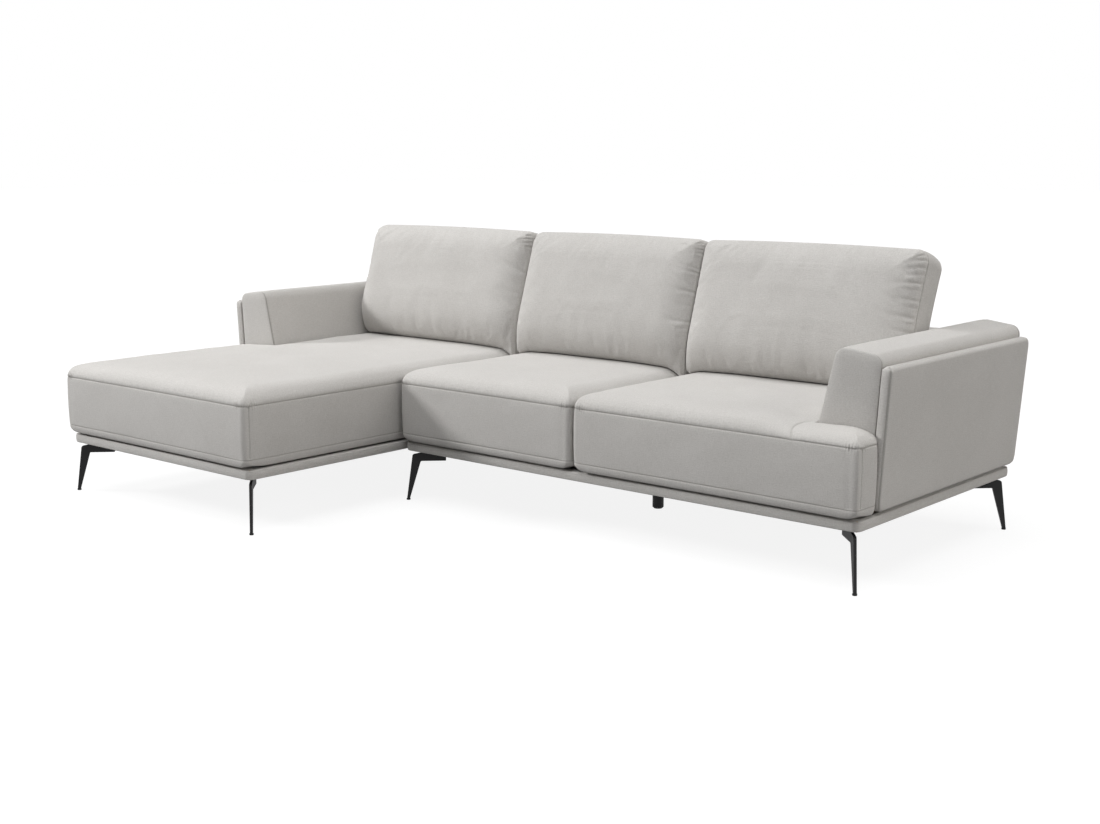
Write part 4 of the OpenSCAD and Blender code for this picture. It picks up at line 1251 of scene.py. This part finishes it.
def buildPlinth(unit, body):
    p = plinthShape
    names = [f"{unit}_plinth_{side}" for side in ("front", "back", "left", "right")]
    corners = np.array([[*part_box(n)[0], *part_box(n)[1]] for n in names])
    (x0, y0, z0), (x1, y1, z1) = corners[:, :3].min(0), corners[:, 3:].max(0)
    width, depth, height = x1 - x0, y1 - y0, z1 - z0
    outline = []
    steps = p["cornerSteps"]
    for cx, cy, start in (
        (x1 - p["radius"], y0 + p["radius"], -90),
        (x1 - p["radius"], y1 - p["radius"], 0),
        (x0 + p["radius"], y1 - p["radius"], 90),
        (x0 + p["radius"], y0 + p["radius"], 180),
    ):
        for k in range(steps + 1):
            t = math.radians(start + 90 * k / steps)
            outline.append((cx, cy, math.cos(t), math.sin(t)))
    full = []
    for here, there in zip(outline, outline[1:] + outline[:1]):
        full.append(here)
        gap = math.hypot(there[0] - here[0], there[1] - here[1])
        parts = max(1, round(gap / p["pitch"]))
        for k in range(1, parts):
            full.append(tuple(np.array(here) * (1 - k / parts) + np.array(there) * (k / parts)))
    full = np.array(full)
    normal = full[:, 2:] / np.linalg.norm(full[:, 2:], axis=1)[:, None]
    centre = full[:, :2]
    e, thick, flap = p["edge"], p["thick"], p["flap"]
    turns = np.linspace(0.2, math.pi / 2, 6)
    turnsBack = np.linspace(0, math.pi / 2 - 0.2, 6)
    # The cloth's section: how far out of the plinth's outline, and how high
    section = [(-thick, z0 + 0.001), (-e, z0)]
    section += [(-e + e * math.sin(t), z0 + e - e * math.cos(t)) for t in turns]
    for t in (0.2, 0.4, 0.6, 0.8):
        section.append((p["bulge"] * math.sin(math.pi * t), z0 + e + (height - 2 * e) * t))
    section += [(-e + e * math.cos(t), z1 - e + e * math.sin(t)) for t in turnsBack]
    section += [(-e, z1), (-flap, z1 + 0.0012), (-flap, z1 + 0.0003), (-thick, z1 + 0.0002)]
    count = len(full)
    verts = []
    for out, z in section:
        ring = centre + normal * max(0.0005, p["radius"] + out)
        if out < -p["radius"]:
            ring = np.clip(ring, [x0 - out, y0 - out], [x1 + out, y1 + out])
        verts.append(points(ring[:, 0], ring[:, 1], z))
    verts = np.concatenate(verts)
    arc = arcLengths(verts[count:2 * count, :2])
    rows = len(section)
    faces, maps = [], []
    for k in range(rows):
        ring = np.arange(count)
        strip = band(k * count + ring, (k + 1) % rows * count + ring, arc, k * 0.003, k * 0.003 + 0.003)
        faces.append(strip[0])
        maps.append(strip[1])
    piece = clothPiece(unit + "_plinth_cloth", verts, np.concatenate(faces), np.concatenate(maps))
    soften(piece, names, body)


buildPlinth("pair", "two_seater")
buildPlinth("chaise", "chaise")
print("plinths built")


# The sewn edges, which stand up as a fine ridge along the seams and are coloured darker than the cloth as
# painted shade, and the staples of the dust covers
sewnRidge = {"Radius": 0.0011, "Spacing": 0.006}
staples = {"Pitch": 0.045, "Length": 0.010, "Wire": 0.0012}
stapleInset = 0.012


def pathMesh(name, runs):
    verts, edges = [], []
    for run in runs:
        start = len(verts)
        verts += [tuple(place) for place in run]
        edges += [(start + k, start + k + 1) for k in range(len(run) - 1)]
    mesh = bpy.data.meshes.new(name)
    mesh.from_pydata(verts, edges, [])
    return mesh


def grow(name, mesh, tree):
    # A plain mesh made by a Geometry Nodes tree from a mesh of paths
    source = addObject(name + "_path", mesh)
    modifier = source.modifiers.new("grow", "NODES")
    modifier.node_group = tree
    graph = bpy.context.evaluated_depsgraph_get()
    result = bpy.data.meshes.new_from_object(source.evaluated_get(graph))
    source.modifiers.clear()
    bpy.data.objects.remove(source)
    return addObject(name, result)


class Bench:
    # A Geometry Nodes tree with named sizes
    def __init__(self, name, sizes):
        self.tree = bpy.data.node_groups.new(name, "GeometryNodeTree")
        face = self.tree.interface
        face.new_socket("Geometry", in_out="INPUT", socket_type="NodeSocketGeometry")
        for size, value in sizes.items():
            socket = face.new_socket(size, in_out="INPUT", socket_type="NodeSocketFloat")
            socket.default_value = value
        face.new_socket("Geometry", in_out="OUTPUT", socket_type="NodeSocketGeometry")
        self.given = self.step("NodeGroupInput")

    def step(self, kind, settings=None, inputs=None):
        # A new node. It gives back its outputs.
        return addNode(self.tree, kind, settings, inputs).outputs

    def finish(self, geometry, material):
        real = self.step("GeometryNodeRealizeInstances", {}, {"Geometry": geometry})
        done = self.step("GeometryNodeSetMaterial", {}, {"Geometry": real[0], "Material": material})
        self.step("NodeGroupOutput", {}, {"Geometry": done[0]})
        return self.tree


def ridgeTree():
    bench = Bench("sewn_ridge", sewnRidge)
    given = bench.given
    curve = bench.step("GeometryNodeMeshToCurve", {}, {"Mesh": given["Geometry"]})
    spaced = {"Curve": curve[0], "Length": given["Spacing"]}
    even = bench.step("GeometryNodeResampleCurve", {"mode": "LENGTH"}, spaced)
    ring = bench.step(
        "GeometryNodeCurvePrimitiveCircle", {}, {"Resolution": 6, "Radius": given["Radius"]}
    )
    around = {"Curve": even[0], "Profile Curve": ring[0], "Fill Caps": True}
    tube = bench.step("GeometryNodeCurveToMesh", {}, around)
    smooth = bench.step("GeometryNodeSetShadeSmooth", {}, {"Geometry": tube[0]})
    # The ridge's darker colour is painted seam shade
    return bench.finish(smooth[0], finish["sewn_edge_painted_shade"])


def stapleTree():
    bench = Bench("staples", staples)
    given = bench.given
    curve = bench.step("GeometryNodeMeshToCurve", {}, {"Mesh": given["Geometry"]})
    spaced = {"Curve": curve[0], "Length": given["Pitch"]}
    spots = bench.step("GeometryNodeCurveToPoints", {"mode": "LENGTH"}, spaced)
    wire = given["Wire"]
    shape = bench.step("ShaderNodeCombineXYZ", {}, {"X": wire, "Y": wire, "Z": given["Length"]})
    box = bench.step("GeometryNodeMeshCube", {}, {"Size": shape[0]})
    each = {"Points": spots["Points"], "Instance": box[0], "Rotation": spots["Rotation"]}
    placed = bench.step("GeometryNodeInstanceOnPoints", {}, each)
    return bench.finish(placed[0], finish["zinc_steel"])


def buildSewnEdges():
    tree = ridgeTree()
    for body, runs in seamTrails.items():
        piece = grow(body + "_sewn_edges", pathMesh(body + "_seams", runs), tree)
        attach(piece, body)


def buildStaples():
    tree = stapleTree()
    for unit, body in (("pair", "two_seater"), ("chaise", "chaise")):
        low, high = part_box(unit + "_dust_cover")
        inset, z = stapleInset, low.z - staples["Wire"] * 0.35
        x0, x1, y0, y1 = low.x + inset, high.x - inset, low.y + inset, high.y - inset
        corners = [(x0, y0, z), (x1, y0, z), (x1, y1, z), (x0, y1, z)]
        runs = [np.array([a, b]) for a, b in zip(corners, corners[1:] + corners[:1])]
        piece = grow(unit + "_staples", pathMesh(unit + "_staple_line", runs), tree)
        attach(piece, body)


buildSewnEdges()
buildStaples()
print("sewn edges and staples built")


# Floor, world and lamps
studio = {
    "worldLight": 0.075,
    "floorTone": 0.30,  # how much light the floor gives back
    "floorShown": 0.16,  # how strongly the shadow shows on the white floor
    "floorHalf": 40,
    "whiteness": 1.04,
    "key": {"way": (0.62, 0.43, -0.40), "aim": (0, -0.1, 0.4), "away": 12.0, "size": 2.5, "power": 860},
    "suns": {
        # direction, strength, how wide the light is in degrees, colour
        "top_lamp": ((0.0, 0.22, -1.0), 2.48, 60, (0.985, 0.992, 1.0)),
        "right_lamp": ((-0.88, -0.30, -0.20), 1.33, 50, (1.0, 0.975, 0.94)),
    },
}


def buildWorld():
    world = bpy.data.worlds.new("studio")
    bpy.context.scene.world = world
    shop = NodeShop(world)
    soft = {"Color": colour(1.0, 0.99, 0.98), "Strength": studio["worldLight"]}
    white = {"Color": colour(1, 1, 1), "Strength": 1.0}
    light, shown = (shop.part("ShaderNodeBackground", {}, look) for look in (soft, white))
    sky = shop.part("ShaderNodeMixShader", {}, {0: shop.shownRays(), 1: light, 2: shown})
    shop.finish(sky, "ShaderNodeOutputWorld")


def buildFloor():
    shop = newLook("white_floor")
    tone, shown = studio["floorTone"], studio["floorShown"]
    matt = shop.part("ShaderNodeBsdfDiffuse", {}, {"Color": colour(tone, tone, tone)})
    faint = shop.part("ShaderNodeBsdfDiffuse", {}, {"Color": colour(shown, shown, shown)})
    glow = shop.part(
        "ShaderNodeEmission", {}, {"Color": colour(1, 1, 1), "Strength": studio["whiteness"] - shown}
    )
    white = shop.part("ShaderNodeAddShader", {}, {0: faint, 1: glow})
    look = shop.part("ShaderNodeMixShader", {}, {0: shop.shownRays(), 1: matt, 2: white})
    mesh = bpy.data.meshes.new("floor")
    half = studio["floorHalf"]
    corners = [(-half, -half, 0), (half, -half, 0), (half, half, 0), (-half, half, 0)]
    mesh.from_pydata(corners, [], [(0, 1, 2, 3)])
    mesh.materials.append(shop.finish(look))
    floor = addObject("floor", mesh)


def hang(name, data, place, way):
    # A lamp that shines along way
    light = addObject(name, data)
    light.location = place
    light.rotation_euler = Vector(way).to_track_quat("-Z", "Y").to_euler()


def buildLamps():
    key = studio["key"]
    data = bpy.data.lights.new("key_lamp", "AREA")
    data.shape = "DISK"
    data.size = key["size"]
    data.energy = key["power"]
    way = Vector(key["way"]).normalized()
    hang("key_lamp", data, Vector(key["aim"]) - way * key["away"], way)
    for name, (way, strength, spread, tint) in studio["suns"].items():
        data = bpy.data.lights.new(name, "SUN")
        data.energy = strength
        data.angle = math.radians(spread)
        data.color = tint
        hang(name, data, (0, 0, 4), way)


bpy.context.scene.view_settings.view_transform = "Standard"
buildWorld()
buildFloor()
buildLamps()
print("studio built")
